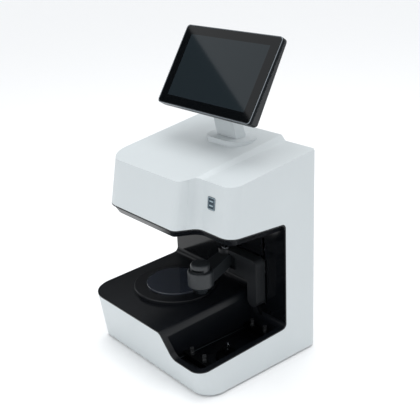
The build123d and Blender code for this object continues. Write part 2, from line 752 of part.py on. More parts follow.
def rocker():
    """Rocker key on its pivot pins, resting with its lower half pressed in."""
    half_width = SWITCH_WIDTH / 2 - SWITCH_WALL - ROCKER_PLAY
    half_height = SWITCH_HEIGHT / 2 - SWITCH_WALL - 1.0
    pivot_y = REAR_Y - ROCKER_PIVOT
    corners = [
        (pivot_y - 3, CONNECTOR_Z - 2, 0.5),
        (pivot_y + 1, CONNECTOR_Z - half_height, 0.5),
        (pivot_y + 3.4, CONNECTOR_Z - half_height, 0.5),
        (pivot_y + 3, CONNECTOR_Z, 0.5),
        (pivot_y + 5.2, CONNECTOR_Z + half_height, 0.5),
        (pivot_y + 1, CONNECTOR_Z + half_height, 0.5),
        (pivot_y - 3, CONNECTOR_Z + 2, 0.5),
    ]
    key = side_prism(corners, SWITCH_X - half_width, SWITCH_X + half_width)
    return key + rocker_pins(ROCKER_PIN_RADIUS, half_width + ROCKER_PIN_REACH)


def port_block():
    """Metal shell with the network socket and two data sockets."""
    low_z = CONNECTOR_Z - PORTS_HEIGHT / 2
    left = PORTS_X - PORTS_WIDTH / 2
    face = REAR_Y - 0.5
    back = face - PORTS_DEPTH
    shell = block(left, left + PORTS_WIDTH, back, face, low_z, low_z + PORTS_HEIGHT)
    x = left + PORTS_WALL
    high_z = low_z + PORTS_HEIGHT - PORTS_WALL
    shell -= block(x, x + NETWORK_SOCKET_WIDTH, back + PORTS_WALL, FAR, low_z + PORTS_WALL, high_z)
    x += NETWORK_SOCKET_WIDTH + DATA_SOCKET_GAP
    socket_low = low_z + 2 * PORTS_WALL
    for _ in range(2):
        socket_high = socket_low + DATA_SOCKET_HEIGHT
        shell -= block(x, x + DATA_SOCKET_WIDTH, back + PORTS_WALL, FAR, socket_low, socket_high)
        x += DATA_SOCKET_WIDTH + DATA_SOCKET_GAP
    return shell


# ================================================================ head optics
def make_optics():
    """Camera looking straight down at the lens table through the soffit window."""
    level = soffit_window_height()
    glass = rod((TABLE_X, TABLE_Y, level), (0, 0, 1), WINDOW_GLASS, WINDOW_RADIUS + 5)
    keep("head_window", glass)
    light_low = level + WINDOW_GLASS + 1
    place = (TABLE_X, TABLE_Y, light_low)
    keep("ring_light", tube(place, (0, 0, 1), 5, WINDOW_RADIUS + 2, LENS_RADIUS + 3))
    barrel = rod((TABLE_X, TABLE_Y, light_low), (0, 0, 1), CAMERA_Z - light_low, LENS_RADIUS)
    barrel += tube((TABLE_X, TABLE_Y, light_low + 14), (0, 0, 1), 10, LENS_RADIUS + 2, LENS_RADIUS - 1)
    barrel -= rod((TABLE_X, TABLE_Y, light_low), (0, 0, 1), 6, LENS_RADIUS - 4)
    keep("camera_lens", barrel)
    half = CAMERA_SIZE / 2
    camera = block(-half, half, -half, half, CAMERA_Z, CAMERA_Z + CAMERA_SIZE)
    keep("camera_body", Pos(TABLE_X, TABLE_Y, 0) * camera)


def soffit_window_height():
    """Height at which the flat window glass clears the sloping soffit floor."""
    reach = WALL_Y - (TABLE_Y - WINDOW_RADIUS - 5)
    return CEILING_HEIGHT + reach * math.tan(math.radians(CEILING_SLOPE)) - SOFFIT_DROP + LINING + GAP


# ================================================================ lens table
def make_table():
    """Round lit table in the deck: outer ring, glass plate and the light under it."""
    seat = TABLE_RING_TOP - TABLE_RING_THICKNESS
    centre = (TABLE_X, TABLE_Y, seat)
    ring = tube(centre, (0, 0, 1), TABLE_RING_THICKNESS, TABLE_RING_RADIUS, TABLE_PLATE_RADIUS + GAP)
    top_edges = ring.edges().filter_by(GeomType.CIRCLE).group_by(Axis.Z)[-1]
    ring = chamfer(top_edges.sort_by(SortBy.LENGTH)[-1:], 1.5)
    skirt_low = seat - TABLE_RECESS_DEPTH
    skirt_radius = TABLE_RING_RADIUS - TABLE_LEDGE - GAP
    skirt_start = (TABLE_X, TABLE_Y, skirt_low)
    ring += tube(skirt_start, (0, 0, 1), TABLE_RECESS_DEPTH + 1, skirt_radius, skirt_radius - 3)
    keep("table_ring", ring)
    cup_top = TABLE_PLATE_TOP - PLATE_THICKNESS
    plate = rod((TABLE_X, TABLE_Y, cup_top), (0, 0, 1), PLATE_THICKNESS, TABLE_PLATE_RADIUS)
    plate = chamfer(plate.edges().group_by(Axis.Z)[-1], 0.8)
    keep("table_plate", plate)
    cup_low = cup_top - LIGHT_DEPTH
    cup = rod((TABLE_X, TABLE_Y, cup_low), (0, 0, 1), LIGHT_DEPTH, TABLE_PLATE_RADIUS)
    cup -= rod((TABLE_X, TABLE_Y, cup_low + 2), (0, 0, 1), LIGHT_DEPTH, TABLE_PLATE_RADIUS - 3)
    keep("light_cup", cup)
    keep("light_board", rod((TABLE_X, TABLE_Y, cup_low + 3), (0, 0, 1), 1.6, TABLE_PLATE_RADIUS - 4))


# ================================================================ lift and arm
def arm_pivot_x():
    """X of the pivot that is as far from the parked chuck as from the middle of the lens table."""
    middle_x = (ARM_HEAD_X + TABLE_X) / 2
    middle_y = (ARM_HEAD_Y + TABLE_Y) / 2
    run = ARM_HEAD_X - TABLE_X
    rise = ARM_HEAD_Y - TABLE_Y
    return middle_x - (ARM_PIVOT_Y - middle_y) * rise / run


def make_lift():
    """Guide rods, lead screw and its motor inside the column, and the saddle that they carry."""
    rail_length = RAIL_TOP - RAIL_LOW
    rails = [rod((x, RAIL_Y, RAIL_LOW), (0, 0, 1), rail_length, RAIL_RADIUS) for x in rail_places()]
    keep("lift_rails", compound(rails))
    supports = [rail_support(z) for z in (RAIL_LOW - SUPPORT_HEIGHT / 2, RAIL_TOP - SUPPORT_HEIGHT / 2)]
    keep("lift_bearings", compound(supports))
    screw_low = MOTOR_TOP + 2
    screw = rod((LIFT_X, RAIL_Y, screw_low), (0, 0, 1), RAIL_TOP + 12 - screw_low, SCREW_RADIUS)
    coupling_length = RAIL_LOW - SUPPORT_HEIGHT / 2 - GAP - screw_low
    screw += rod((LIFT_X, RAIL_Y, screw_low), (0, 0, 1), coupling_length, SCREW_RADIUS + 5)
    keep("lead_screw", screw)
    half = LIFT_MOTOR_SIZE / 2
    motor = rounded_block(-half, half, -half, half, PAN_TOP, MOTOR_TOP - 2, 4)
    motor += rod((0, 0, MOTOR_TOP - 3), (0, 0, 1), 3, half / 2)
    keep("lift_motor", Pos(LIFT_X, RAIL_Y, 0) * motor)
    keep("lift_carriage", lift_carriage())
    keep("lift_nut", lift_nut())
    keep("lift_saddle", saddle())


def rail_places():
    return (LIFT_X - RAIL_SPACING / 2, LIFT_X + RAIL_SPACING / 2)


def rail_support(z):
    """Block that holds the ends of the rods and carries the screw."""
    left = LIFT_X - RAIL_SPACING / 2 - RAIL_MARGIN
    right = LIFT_X + RAIL_SPACING / 2 + RAIL_MARGIN
    support = block(left, right, RAIL_Y - RAIL_MARGIN, RAIL_Y + RAIL_MARGIN, z, z + SUPPORT_HEIGHT)
    for x in rail_places():
        support -= rod((x, RAIL_Y, 0), (0, 0, 1), FAR, RAIL_RADIUS)
    return support - rod((LIFT_X, RAIL_Y, 0), (0, 0, 1), FAR, SCREW_RADIUS + RUNNING_FIT)


def lift_carriage():
    """Carriage on the two rods, with the link that reaches out through the wall slot."""
    low = ARM_HEIGHT - CARRIAGE_HEIGHT / 2
    left = LIFT_X - RAIL_SPACING / 2 - RAIL_MARGIN
    right = LIFT_X + RAIL_SPACING / 2 + RAIL_MARGIN
    depth = RAIL_MARGIN - 1
    carriage = block(left, right, RAIL_Y - depth, RAIL_Y + depth, low, low + CARRIAGE_HEIGHT)
    for x in rail_places():
        carriage -= rod((x, RAIL_Y, 0), (0, 0, 1), FAR, RAIL_RADIUS + RUNNING_FIT)
    carriage -= rod((LIFT_X, RAIL_Y, 0), (0, 0, 1), FAR, NUT_RADIUS)
    left = LIFT_X - SLOT_WIDTH / 2 + LINK_PLAY
    right = LIFT_X + SLOT_WIDTH / 2 - LINK_PLAY
    link_rear = RAIL_Y - NUT_RADIUS - 1
    return carriage + block(left, right, SADDLE_REAR_Y, link_rear, low + 4, low + CARRIAGE_HEIGHT - 4)


def lift_nut():
    """Flanged nut in the carriage, bored for the lead screw."""
    low = ARM_HEIGHT - CARRIAGE_HEIGHT / 2
    nut = rod((LIFT_X, RAIL_Y, low), (0, 0, 1), CARRIAGE_HEIGHT, NUT_RADIUS)
    nut += rod((LIFT_X, RAIL_Y, low - 4), (0, 0, 1), 4, NUT_RADIUS + 4)
    return nut - rod((LIFT_X, RAIL_Y, 0), (0, 0, 1), FAR, SCREW_RADIUS + RUNNING_FIT)


def saddle():
    """L-shaped carrier in front of the bay wall: a tongue by the slot and a fork for the arm."""
    pivot_x = arm_pivot_x()
    low = ARM_HEIGHT - SADDLE_HEIGHT / 2
    high = ARM_HEIGHT + SADDLE_HEIGHT / 2
    tongue_left = STEP_BOTTOM_X - SADDLE_STEP_ROOM
    tongue_low = floor_height(WALL_Y, TRAY_RIM_HEIGHT) + LIFT_DOWN + SADDLE_FLOOR_ROOM
    outline = [
        (pivot_x, low, 6),
        (tongue_left, low, 10),
        (tongue_left, tongue_low, 12),
        (SADDLE_RIGHT_X, tongue_low, 12),
        (SADDLE_RIGHT_X, high, 10),
        (pivot_x, high, 6),
    ]
    face = rounded_face(outline, Plane(origin=(0, SADDLE_REAR_Y, 0), x_dir=(1, 0, 0), z_dir=(0, -1, 0)))
    carrier = extrude(face, SADDLE_DEPTH)
    carrier += rod((pivot_x, ARM_PIVOT_Y, low), (0, 0, 1), SADDLE_HEIGHT, PIVOT_BOSS)
    gap_low = ARM_HEIGHT - ARM_THICKNESS / 2 - GAP
    carrier -= rod((pivot_x, ARM_PIVOT_Y, gap_low), (0, 0, 1), ARM_THICKNESS + 2 * GAP, PIVOT_BOSS + 2)
    gap_high = gap_low + ARM_THICKNESS + 2 * GAP
    carrier -= block(-FAR, pivot_x + SWEEP_ROOM, -FAR, ARM_PIVOT_Y, gap_low, gap_high)
    return carrier - rod((pivot_x, ARM_PIVOT_Y, low - 1), (0, 0, 1), SADDLE_HEIGHT + 2, PIVOT_PIN)


def make_arm():
    """Blocking arm with its motor head, cap and the chuck that takes the lens block."""
    pivot_x = arm_pivot_x()
    low = ARM_HEIGHT - SADDLE_HEIGHT / 2
    pin = rod((pivot_x, ARM_PIVOT_Y, low), (0, 0, 1), SADDLE_HEIGHT, PIVOT_PIN)
    pin += rod((pivot_x, ARM_PIVOT_Y, low + SADDLE_HEIGHT), (0, 0, 1), 2, PIVOT_PIN + 3)
    keep("arm_pivot_pin", pin)
    length = math.hypot(ARM_HEAD_X - pivot_x, ARM_HEAD_Y - ARM_PIVOT_Y)
    angle = math.degrees(math.atan2(ARM_HEAD_Y - ARM_PIVOT_Y, ARM_HEAD_X - pivot_x))
    base = ARM_HEIGHT - ARM_THICKNESS / 2
    beam = rod((0, 0, base), (0, 0, 1), ARM_THICKNESS, PIVOT_BOSS)
    beam_outline = [
        (0, -ARM_ROOT_WIDTH / 2, 0.5),
        (length, -ARM_TIP_WIDTH / 2, 0.5),
        (length, ARM_TIP_WIDTH / 2, 0.5),
        (0, ARM_ROOT_WIDTH / 2, 0.5),
    ]
    beam += extrude(rounded_face(beam_outline, Plane.XY.offset(base)), ARM_THICKNESS)
    beam -= rod((0, 0, base - 1), (0, 0, 1), ARM_THICKNESS + 2, PIVOT_PIN + RUNNING_FIT)
    beam -= rod((length, 0, base - 1), (0, 0, 1), ARM_THICKNESS + 2, ARM_HEAD_RADIUS)
    keep("blocking_arm", Pos(pivot_x, ARM_PIVOT_Y, 0) * Rot(0, 0, angle) * beam)

    head_low = CHUCK_BOTTOM + CHUCK_HEIGHT
    shell = rod((ARM_HEAD_X, ARM_HEAD_Y, head_low), (0, 0, 1), ARM_HEAD_TOP - head_low, ARM_HEAD_RADIUS)
    shell = chamfer(shell.edges().group_by(Axis.Z)[0], 7)
    shell = fillet(shell.edges().group_by(Axis.Z)[-1], 3)
    inner_radius = ARM_HEAD_RADIUS - 5
    shell -= rod((ARM_HEAD_X, ARM_HEAD_Y, head_low + 4), (0, 0, 1), FAR, inner_radius)
    shell -= rod((ARM_HEAD_X, ARM_HEAD_Y, 0), (0, 0, 1), FAR, CHUCK_SHAFT + 1)
    keep("arm_head", shell)
    motor = rod((ARM_HEAD_X, ARM_HEAD_Y, head_low + 4), (0, 0, 1), MOTOR_CAN, inner_radius - 2)
    motor -= rod((ARM_HEAD_X, ARM_HEAD_Y, head_low), (0, 0, 1), 14, CHUCK_SHAFT + RUNNING_FIT)
    keep("chuck_motor", motor)
    cap_low = head_low + 4 + MOTOR_CAN
    cap = rod((ARM_HEAD_X, ARM_HEAD_Y, cap_low), (0, 0, 1), CAP_HEIGHT, inner_radius - 1)
    cap = fillet(cap.edges().group_by(Axis.Z)[-1], 5)
    notch_low = ARM_HEAD_TOP + 1
    cap -= block(ARM_HEAD_X - 4, FAR, -FAR, ARM_HEAD_Y - 6, notch_low, notch_low + 5)
    keep("arm_head_cap", cap)
    chuck = rod((ARM_HEAD_X, ARM_HEAD_Y, CHUCK_BOTTOM), (0, 0, 1), CHUCK_HEIGHT - GAP, CHUCK_RADIUS)
    chuck = chamfer(chuck.edges().group_by(Axis.Z)[0], 2)
    chuck -= rod((ARM_HEAD_X, ARM_HEAD_Y, CHUCK_BOTTOM - 1), (0, 0, 1), CHUCK_HEIGHT - 3, CHUCK_SOCKET)
    chuck -= block(-FAR, FAR, ARM_HEAD_Y - 1.5, ARM_HEAD_Y + 1.5, 0, CHUCK_BOTTOM + 4)
    chuck += rod((ARM_HEAD_X, ARM_HEAD_Y, head_low - 2), (0, 0, 1), 14, CHUCK_SHAFT)
    keep("block_chuck", chuck)


# ================================================================ tracer
def make_tracer():
    """Open well with two sprung sliders that grip a frame, and the feeler on its turntable."""
    outside = well_volume(WELL_WALL)
    bars = []
    for x in tracer_rail_places():
        bars.append(rod((x, FRONT_Y, TRACER_RAIL_HEIGHT), (0, 1, 0), BODY_DEPTH, TRACER_RAIL_RADIUS))
    keep("tracer_rails", outside & (bars[0] + bars[1]))
    well = outside - well_volume(0) - bay_void(LINING) - bars[0] - bars[1]
    well &= block(-FAR, FAR, -FAR, FAR, 0, DECK_HEIGHT + 20)
    well -= rod((TRACER_X, TRACER_Y, 0), (0, 0, 1), WELL_FLOOR + 1, SPINDLE_RADIUS + RUNNING_FIT)
    keep("tracer_well", well)

    front = TRACER_FRONT_Y + SLIDER_PARK
    rear = WELL_REAR_Y - SLIDER_PARK - SLIDER_WIDTH
    keep("front_slider", slider(front))
    keep("rear_slider", slider(rear))
    keep("front_clamps", clamps(front + SLIDER_WIDTH / 2, 1))
    keep("rear_clamps", clamps(rear + SLIDER_WIDTH / 2, -1))

    table = rod((TRACER_X, TRACER_Y, WELL_FLOOR + GAP), (0, 0, 1), TURNTABLE_HEIGHT, TURNTABLE_RADIUS)
    table = chamfer(table.edges().group_by(Axis.Z)[-1], 1)
    top = WELL_FLOOR + GAP + TURNTABLE_HEIGHT
    groove_half = FEELER_GROOVE / 2
    table -= block(
        TRACER_X - TURNTABLE_RADIUS + 5, TRACER_X + TURNTABLE_RADIUS - 5,
        TRACER_Y - groove_half, TRACER_Y + groove_half, top - GROOVE_DEPTH, top + 1,
    )
    table += rod((TRACER_X, TRACER_Y, PULLEY_LOW), (0, 0, 1), WELL_FLOOR + 1 - PULLEY_LOW, SPINDLE_RADIUS)
    keep("tracer_turntable", table)
    keep("turntable_pulley", turntable_pulley())
    keep("motor_pulley", motor_pulley())
    keep("tracer_motor", tracer_motor())
    keep("tracer_belt", belt())
    base = top - GROOVE_DEPTH + GAP
    carriage_half = groove_half - GAP
    carriage = block(-7, 7, -carriage_half, carriage_half, base, top + 4)
    carriage = Pos(TRACER_X, TRACER_Y, 0) * carriage
    carriage += rod((TRACER_X, TRACER_Y, top + 3), (0, 0, 1), FEELER_SLEEVE, FEELER_RADIUS + 2)
    carriage -= rod((TRACER_X, TRACER_Y, base + 2), (0, 0, 1), FAR, FEELER_RADIUS + RUNNING_FIT)
    keep("feeler_carriage", carriage)
    feeler = rod((TRACER_X, TRACER_Y, base + 3), (0, 0, 1), top + FEELER_TIP - base - 3, FEELER_RADIUS)
    feeler += rod((TRACER_X, TRACER_Y, top + FEELER_TIP - 4), (1, 0, 0), 7, 1.0)
    keep("tracer_feeler", feeler)


def well_volume(grow):
    """Space inside the tracer well, which keeps an even rim along the front and right of the base."""
    lip = body_volume(WELL_RIM - grow)
    low = WELL_FLOOR - grow
    return lip & block(WELL_LEFT_X - grow, FAR, -FAR, WELL_REAR_Y + grow, low, FAR)


def tracer_rail_places():
    inset = TRACER_RAIL_RADIUS + 3
    return (WELL_LEFT_X + inset, WELL_RIGHT_X - inset)


def tracer_motor_x():
    return WELL_LEFT_X - WELL_WALL - GAP - TRACER_MOTOR_RADIUS


def tracer_motor():
    """Motor can beside the well, bored for its shaft."""
    x = tracer_motor_x()
    low = PULLEY_LOW + PULLEY_HEIGHT + 2
    motor = rod((x, TRACER_Y, low), (0, 0, 1), TRACER_MOTOR_LENGTH, TRACER_MOTOR_RADIUS)
    return motor - rod((x, TRACER_Y, 0), (0, 0, 1), low + 10, MOTOR_SHAFT + RUNNING_FIT)


def flanged_pulley(x, radius):
    """Pulley for the flat belt, with a flange at each end."""
    body = rod((x, TRACER_Y, PULLEY_LOW), (0, 0, 1), PULLEY_HEIGHT, radius)
    for z in (PULLEY_LOW, PULLEY_LOW + PULLEY_HEIGHT - PULLEY_FLANGE):
        body += rod((x, TRACER_Y, z), (0, 0, 1), PULLEY_FLANGE, radius + PULLEY_LIP)
    return body


def motor_pulley():
    """Small pulley with the motor's shaft in its middle."""
    x = tracer_motor_x()
    shaft = rod((x, TRACER_Y, PULLEY_LOW), (0, 0, 1), PULLEY_HEIGHT + 10, MOTOR_SHAFT)
    return flanged_pulley(x, MOTOR_PULLEY_RADIUS) + shaft


def turntable_pulley():
    """Large pulley, bored for the turntable's spindle."""
    bore = rod((TRACER_X, TRACER_Y, 0), (0, 0, 1), FAR, SPINDLE_RADIUS)
    return flanged_pulley(TRACER_X, TABLE_PULLEY_RADIUS) - bore


def belt():
    """Flat belt round the two pulleys, between their flanges."""
    low = PULLEY_LOW + PULLEY_FLANGE + GAP
    height = PULLEY_HEIGHT - 2 * PULLEY_FLANGE - 2 * GAP
    return belt_loop(GAP + BELT, low, height) - belt_loop(GAP, low - 1, height + 2)


def belt_loop(grow, low, height):
    """Solid inside a belt line that is grown outwards from the pulleys."""
    left = tracer_motor_x()
    big = TABLE_PULLEY_RADIUS + grow
    small = MOTOR_PULLEY_RADIUS + grow
    lean = math.asin((big - small) / (TRACER_X - left))
    points = []
    for sign in (1, -1):
        across = (-math.sin(lean), sign * math.cos(lean))
        points.append((left + small * across[0], TRACER_Y + small * across[1]))
        points.append((TRACER_X + big * across[0], TRACER_Y + big * across[1]))
    quad = [points[0], points[1], points[3], points[2]]
    edges = [Edge.make_line(Vector(*quad[index]), Vector(*quad[(index + 1) % 4])) for index in range(4)]
    loop = extrude(Pos(0, 0, low) * Face(Wire(edges)), height, dir=(0, 0, 1))
    loop += rod((left, TRACER_Y, low), (0, 0, 1), height, small)
    return loop + rod((TRACER_X, TRACER_Y, low), (0, 0, 1), height, big)


def slider(y):
    """Cross bar on the two rails."""
    left = WELL_LEFT_X + SLIDER_PLAY
    right = WELL_RIGHT_X - SLIDER_PLAY
    low = TRACER_RAIL_HEIGHT - SLIDER_HEIGHT / 2
    bar = rounded_block(left, right, y, y + SLIDER_WIDTH, low, low + SLIDER_HEIGHT, 3)
    for x in tracer_rail_places():
        bar -= rod((x, -FAR, TRACER_RAIL_HEIGHT), (0, 1, 0), 2 * FAR, TRACER_RAIL_RADIUS + RUNNING_FIT)
    return bar


def clamps(y, towards):
    """Pair of grooved posts that hold the frame's rim."""
    base = TRACER_RAIL_HEIGHT + SLIDER_HEIGHT / 2
    posts = []
    for side in (-1, 1):
        x = TRACER_X + side * CLAMP_SPACING / 2
        post = rod((x, y, base), (0, 0, 1), CLAMP_HEIGHT, CLAMP_RADIUS)
        groove = Pos(x, y, base + CLAMP_HEIGHT / 2) * Torus(CLAMP_RADIUS + 0.6, 1.6)
        posts.append(post - groove)
    return compound(posts)


# ================================================================ display
def screen_plane():
    """Plane of the display's front, with its middle as origin and +Y up the screen."""
    tilt = math.radians(DISPLAY_TILT)
    half = DISPLAY_LENGTH / 2
    origin = (0, DISPLAY_EDGE_Y + half * math.cos(tilt), DISPLAY_EDGE_Z + half * math.sin(tilt))
    return Plane(origin=origin, x_dir=(1, 0, 0), z_dir=(0, -math.sin(tilt), math.cos(tilt)))


def hinge_point():
    """Point on the display's tilt axis."""
    return screen_plane().from_local_coords(Vector(0, -HINGE_DROP, -HINGE_BACK))


def slab(width, height, radius, low, high):
    """Rounded slab in the display's own frame, centred on the screen."""
    x = width / 2
    y = height / 2
    outline = [(-x, -y, radius), (x, -y, radius), (x, y, radius), (-x, y, radius)]
    return extrude(rounded_face(outline, Plane.XY.offset(low)), high - low)


def make_display():
    """Touch display, its tilt hinge and the neck that stands it on the head."""
    place = screen_plane().location
    rim = slab(DISPLAY_WIDTH, DISPLAY_LENGTH, DISPLAY_CORNER, -FRAME_DEPTH, 0)
    glass_width = DISPLAY_WIDTH - 2 * RIM_WIDTH
    glass_height = DISPLAY_LENGTH - 2 * RIM_WIDTH
    rim -= slab(glass_width, glass_height, DISPLAY_CORNER - RIM_WIDTH, -GLASS - 0.2, 1)
    rim -= slab(glass_width - 6, glass_height - 6, DISPLAY_CORNER - RIM_WIDTH, -FRAME_DEPTH - 1, 0)
    keep("display_frame", place * rim)
    glass = slab(glass_width - GAP, glass_height - GAP, DISPLAY_CORNER - RIM_WIDTH - GAP, -GLASS, 0)
    keep("display_glass", place * glass)
    keep("display_panel", place * slab(SCREEN_WIDTH, SCREEN_HEIGHT, 1, -GLASS - 3.4, -GLASS))
    keep("display_back", place * display_back())
    hinge = hinge_point()
    keep("display_bracket", display_bracket())
    pin_start = (-HINGE_HALF - 3, hinge.Y, hinge.Z)
    keep("hinge_pin", rod(pin_start, (1, 0, 0), 2 * HINGE_HALF + 6, HINGE_PIN_RADIUS))
    keep("display_neck", neck())
    keep("stand_base", stand_base())
    keep("head_badge", badge())


def display_back():
    """Rear moulding, thicker along the bottom than along the top."""
    x = DISPLAY_WIDTH / 2
    corners = [
        (-DISPLAY_LENGTH / 2, -FRAME_DEPTH, 0.5),
        (-DISPLAY_LENGTH / 2, -DISPLAY_THICK_LOW, 6),
        (DISPLAY_LENGTH / 2, -DISPLAY_THICK_TOP, 3),
        (DISPLAY_LENGTH / 2, -FRAME_DEPTH, 0.5),
    ]
    shell = side_prism(corners, -x, x) & slab(DISPLAY_WIDTH, DISPLAY_LENGTH, DISPLAY_CORNER, -FAR, FAR)
    wall = BACK_WALL
    inner_corners = [
        (-DISPLAY_LENGTH / 2 + wall, 1, 0.5),
        (-DISPLAY_LENGTH / 2 + wall, -DISPLAY_THICK_LOW + wall, 2),
        (DISPLAY_LENGTH / 2 - wall, -DISPLAY_THICK_TOP + wall, 2),
        (DISPLAY_LENGTH / 2 - wall, 1, 0.5),
    ]
    return shell - side_prism(inner_corners, -x + wall, x - wall)


def display_bracket():
    """Plate on the display's back with the middle knuckle of the hinge."""
    place = screen_plane().location
    taper = (DISPLAY_THICK_LOW - DISPLAY_THICK_TOP) / DISPLAY_LENGTH
    back = DISPLAY_THICK_LOW - taper * (DISPLAY_LENGTH / 2 - HINGE_DROP) - 0.2
    plate_half = BRACKET_SIZE / 2
    angle = math.degrees(math.atan(taper))
    plate = block(-plate_half, plate_half, -plate_half, plate_half, -3, 0)
    plate = Pos(0, -HINGE_DROP, -back - 0.2) * Rot(angle, 0, 0) * plate
    web = block(-KNUCKLE_HALF, KNUCKLE_HALF, -HINGE_DROP - 7, -HINGE_DROP + 7, -HINGE_BACK, -back - 1.5)
    knuckle = rod((-KNUCKLE_HALF, -HINGE_DROP, -HINGE_BACK), (1, 0, 0), 2 * KNUCKLE_HALF, KNUCKLE_RADIUS)
    bore = rod((-FAR, -HINGE_DROP, -HINGE_BACK), (1, 0, 0), 2 * FAR, HINGE_PIN_RADIUS + RUNNING_FIT)
    return place * (plate + web + knuckle - bore)


def neck():
    """Forked neck that rises from the stand base to the hinge."""
    hinge = hinge_point()
    foot_y = NECK_Y
    foot_z = head_top(foot_y) + STAND_HEIGHT
    outline = [
        (foot_y - NECK_DEPTH / 2, foot_z, 1),
        (foot_y + NECK_DEPTH / 2, foot_z, 1),
        (hinge.Y + KNUCKLE_RADIUS, hinge.Z, 1),
        (hinge.Y - KNUCKLE_RADIUS, hinge.Z, 1),
    ]
    body = side_prism(outline, -HINGE_HALF, HINGE_HALF)
    body += rod((-HINGE_HALF, hinge.Y, hinge.Z), (1, 0, 0), 2 * HINGE_HALF, KNUCKLE_RADIUS)
    slot_half = KNUCKLE_HALF + GAP
    slot = block(-slot_half, slot_half, -FAR, FAR, hinge.Z - KNUCKLE_RADIUS - 9, FAR + 300)
    return body - slot - rod((-FAR, hinge.Y, hinge.Z), (1, 0, 0), 2 * FAR, HINGE_PIN_RADIUS)


def head_top(y):
    """Height of the head's top over the middle of the casing."""
    return TOP_REAR_LEFT + (y - REAR_Y) * TOP_SLOPE_LEFT


def stand_base():
    """Oval plate that sits on the sloping top."""
    low = head_top(NECK_Y - STAND_LENGTH)
    half_x = STAND_WIDTH / 2
    half_y = STAND_LENGTH / 2
    high = head_top(NECK_Y) + STAND_HEIGHT
    plate = rounded_block(-half_x, half_x, NECK_Y - half_y, NECK_Y + half_y, low, high, half_y - 1)
    return plate - body_volume_top()


def body_volume_top():
    """Everything at and below the head's sloping top on the left."""
    corners = [
        (-FAR, head_top(-FAR), 0),
        (-FAR, 0, 0),
        (FAR, 0, 0),
        (FAR, head_top(FAR), 0),
    ]
    return side_prism(corners, -FAR, FAR)


def badge():
    """Small plain plate on the right front of the head."""
    lean = math.atan(HEAD_LEAN_RIGHT)
    y = head_front_right(BADGE_Z)
    plane = Plane(origin=(BADGE_X, y, BADGE_Z), x_dir=(1, 0, 0), z_dir=(0, -math.cos(lean), math.sin(lean)))
    half_x = BADGE_WIDTH / 2
    half_y = BADGE_HEIGHT / 2
    outline = [(-half_x, -half_y, 3), (half_x, -half_y, 3), (half_x, half_y, 3), (-half_x, half_y, 3)]
    return extrude(rounded_face(outline, plane), BADGE_THICKNESS)


def build():
    """Make every piece and write one file for each."""
    make_casing()
    make_frame()
    make_electrics()
    make_optics()
    make_table()
    make_lift()
    make_arm()
    make_tracer()
    make_display()
    os.makedirs("parts", exist_ok=True)
    for name, shape in parts.items():
        export_step(shape, os.path.join("parts", name + ".step"))
        print(name, round(shape.volume), len(shape.solids()))


build()
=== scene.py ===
# %% [markdown]
# # Lens centring, blocking and tracing unit
# The CAD model gives every piece its true size and place. This notebook gives each piece its finish:
# softened mould edges, the grain of each plastic and metal, and a plain studio round it.

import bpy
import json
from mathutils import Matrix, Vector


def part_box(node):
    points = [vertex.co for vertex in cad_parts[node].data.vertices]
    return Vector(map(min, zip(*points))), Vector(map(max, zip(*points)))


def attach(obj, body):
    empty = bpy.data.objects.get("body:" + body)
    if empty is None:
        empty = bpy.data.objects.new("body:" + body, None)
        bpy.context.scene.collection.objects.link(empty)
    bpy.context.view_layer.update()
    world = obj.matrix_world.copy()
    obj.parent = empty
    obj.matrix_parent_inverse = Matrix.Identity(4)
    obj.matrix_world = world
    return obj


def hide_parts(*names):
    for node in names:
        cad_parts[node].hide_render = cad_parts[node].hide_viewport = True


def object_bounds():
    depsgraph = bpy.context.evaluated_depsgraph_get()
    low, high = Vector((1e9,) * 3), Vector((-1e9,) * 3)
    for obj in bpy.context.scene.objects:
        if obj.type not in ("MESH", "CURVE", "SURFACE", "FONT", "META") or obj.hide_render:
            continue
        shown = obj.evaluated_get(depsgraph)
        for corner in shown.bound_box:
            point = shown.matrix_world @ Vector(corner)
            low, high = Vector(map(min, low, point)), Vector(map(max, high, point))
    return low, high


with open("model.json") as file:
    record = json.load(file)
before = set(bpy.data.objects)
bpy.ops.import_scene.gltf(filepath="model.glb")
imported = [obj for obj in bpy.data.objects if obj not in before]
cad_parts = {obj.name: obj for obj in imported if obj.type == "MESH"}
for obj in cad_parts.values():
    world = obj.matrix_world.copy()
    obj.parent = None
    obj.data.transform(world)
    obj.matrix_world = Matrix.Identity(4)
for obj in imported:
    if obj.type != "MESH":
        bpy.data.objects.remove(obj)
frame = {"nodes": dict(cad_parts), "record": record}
cad_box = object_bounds()
print("CAD box in metres:", cad_box)

# %% Imports and short names
import json
import math

import bmesh
import bpy
from mathutils import Matrix, Vector

MM = 0.001
NODES = frame["nodes"]
RECORD = frame["record"]
SLOT_OF = {row["node"]: row["material_slot"] for row in RECORD["subparts"]}
BODY_OF = {name: body for body, names in RECORD["behaviour"]["bodies"].items() for name in names}

# %% [markdown]
# ## Camera
# The unit is seen from its front right corner, a little above the bench. The camera is set by its
# bearing, its height angle and a slight roll, so that the three numbers can be read and changed.

# %% Camera
CAMERA_BEARING = math.radians(51.0)
CAMERA_HEIGHT_ANGLE = math.radians(21.5)
CAMERA_ROLL = math.radians(-2.6)
CAMERA_PLACE = Vector((1.1003, -0.8542, 0.8430))
CAMERA_LENS = 66.0

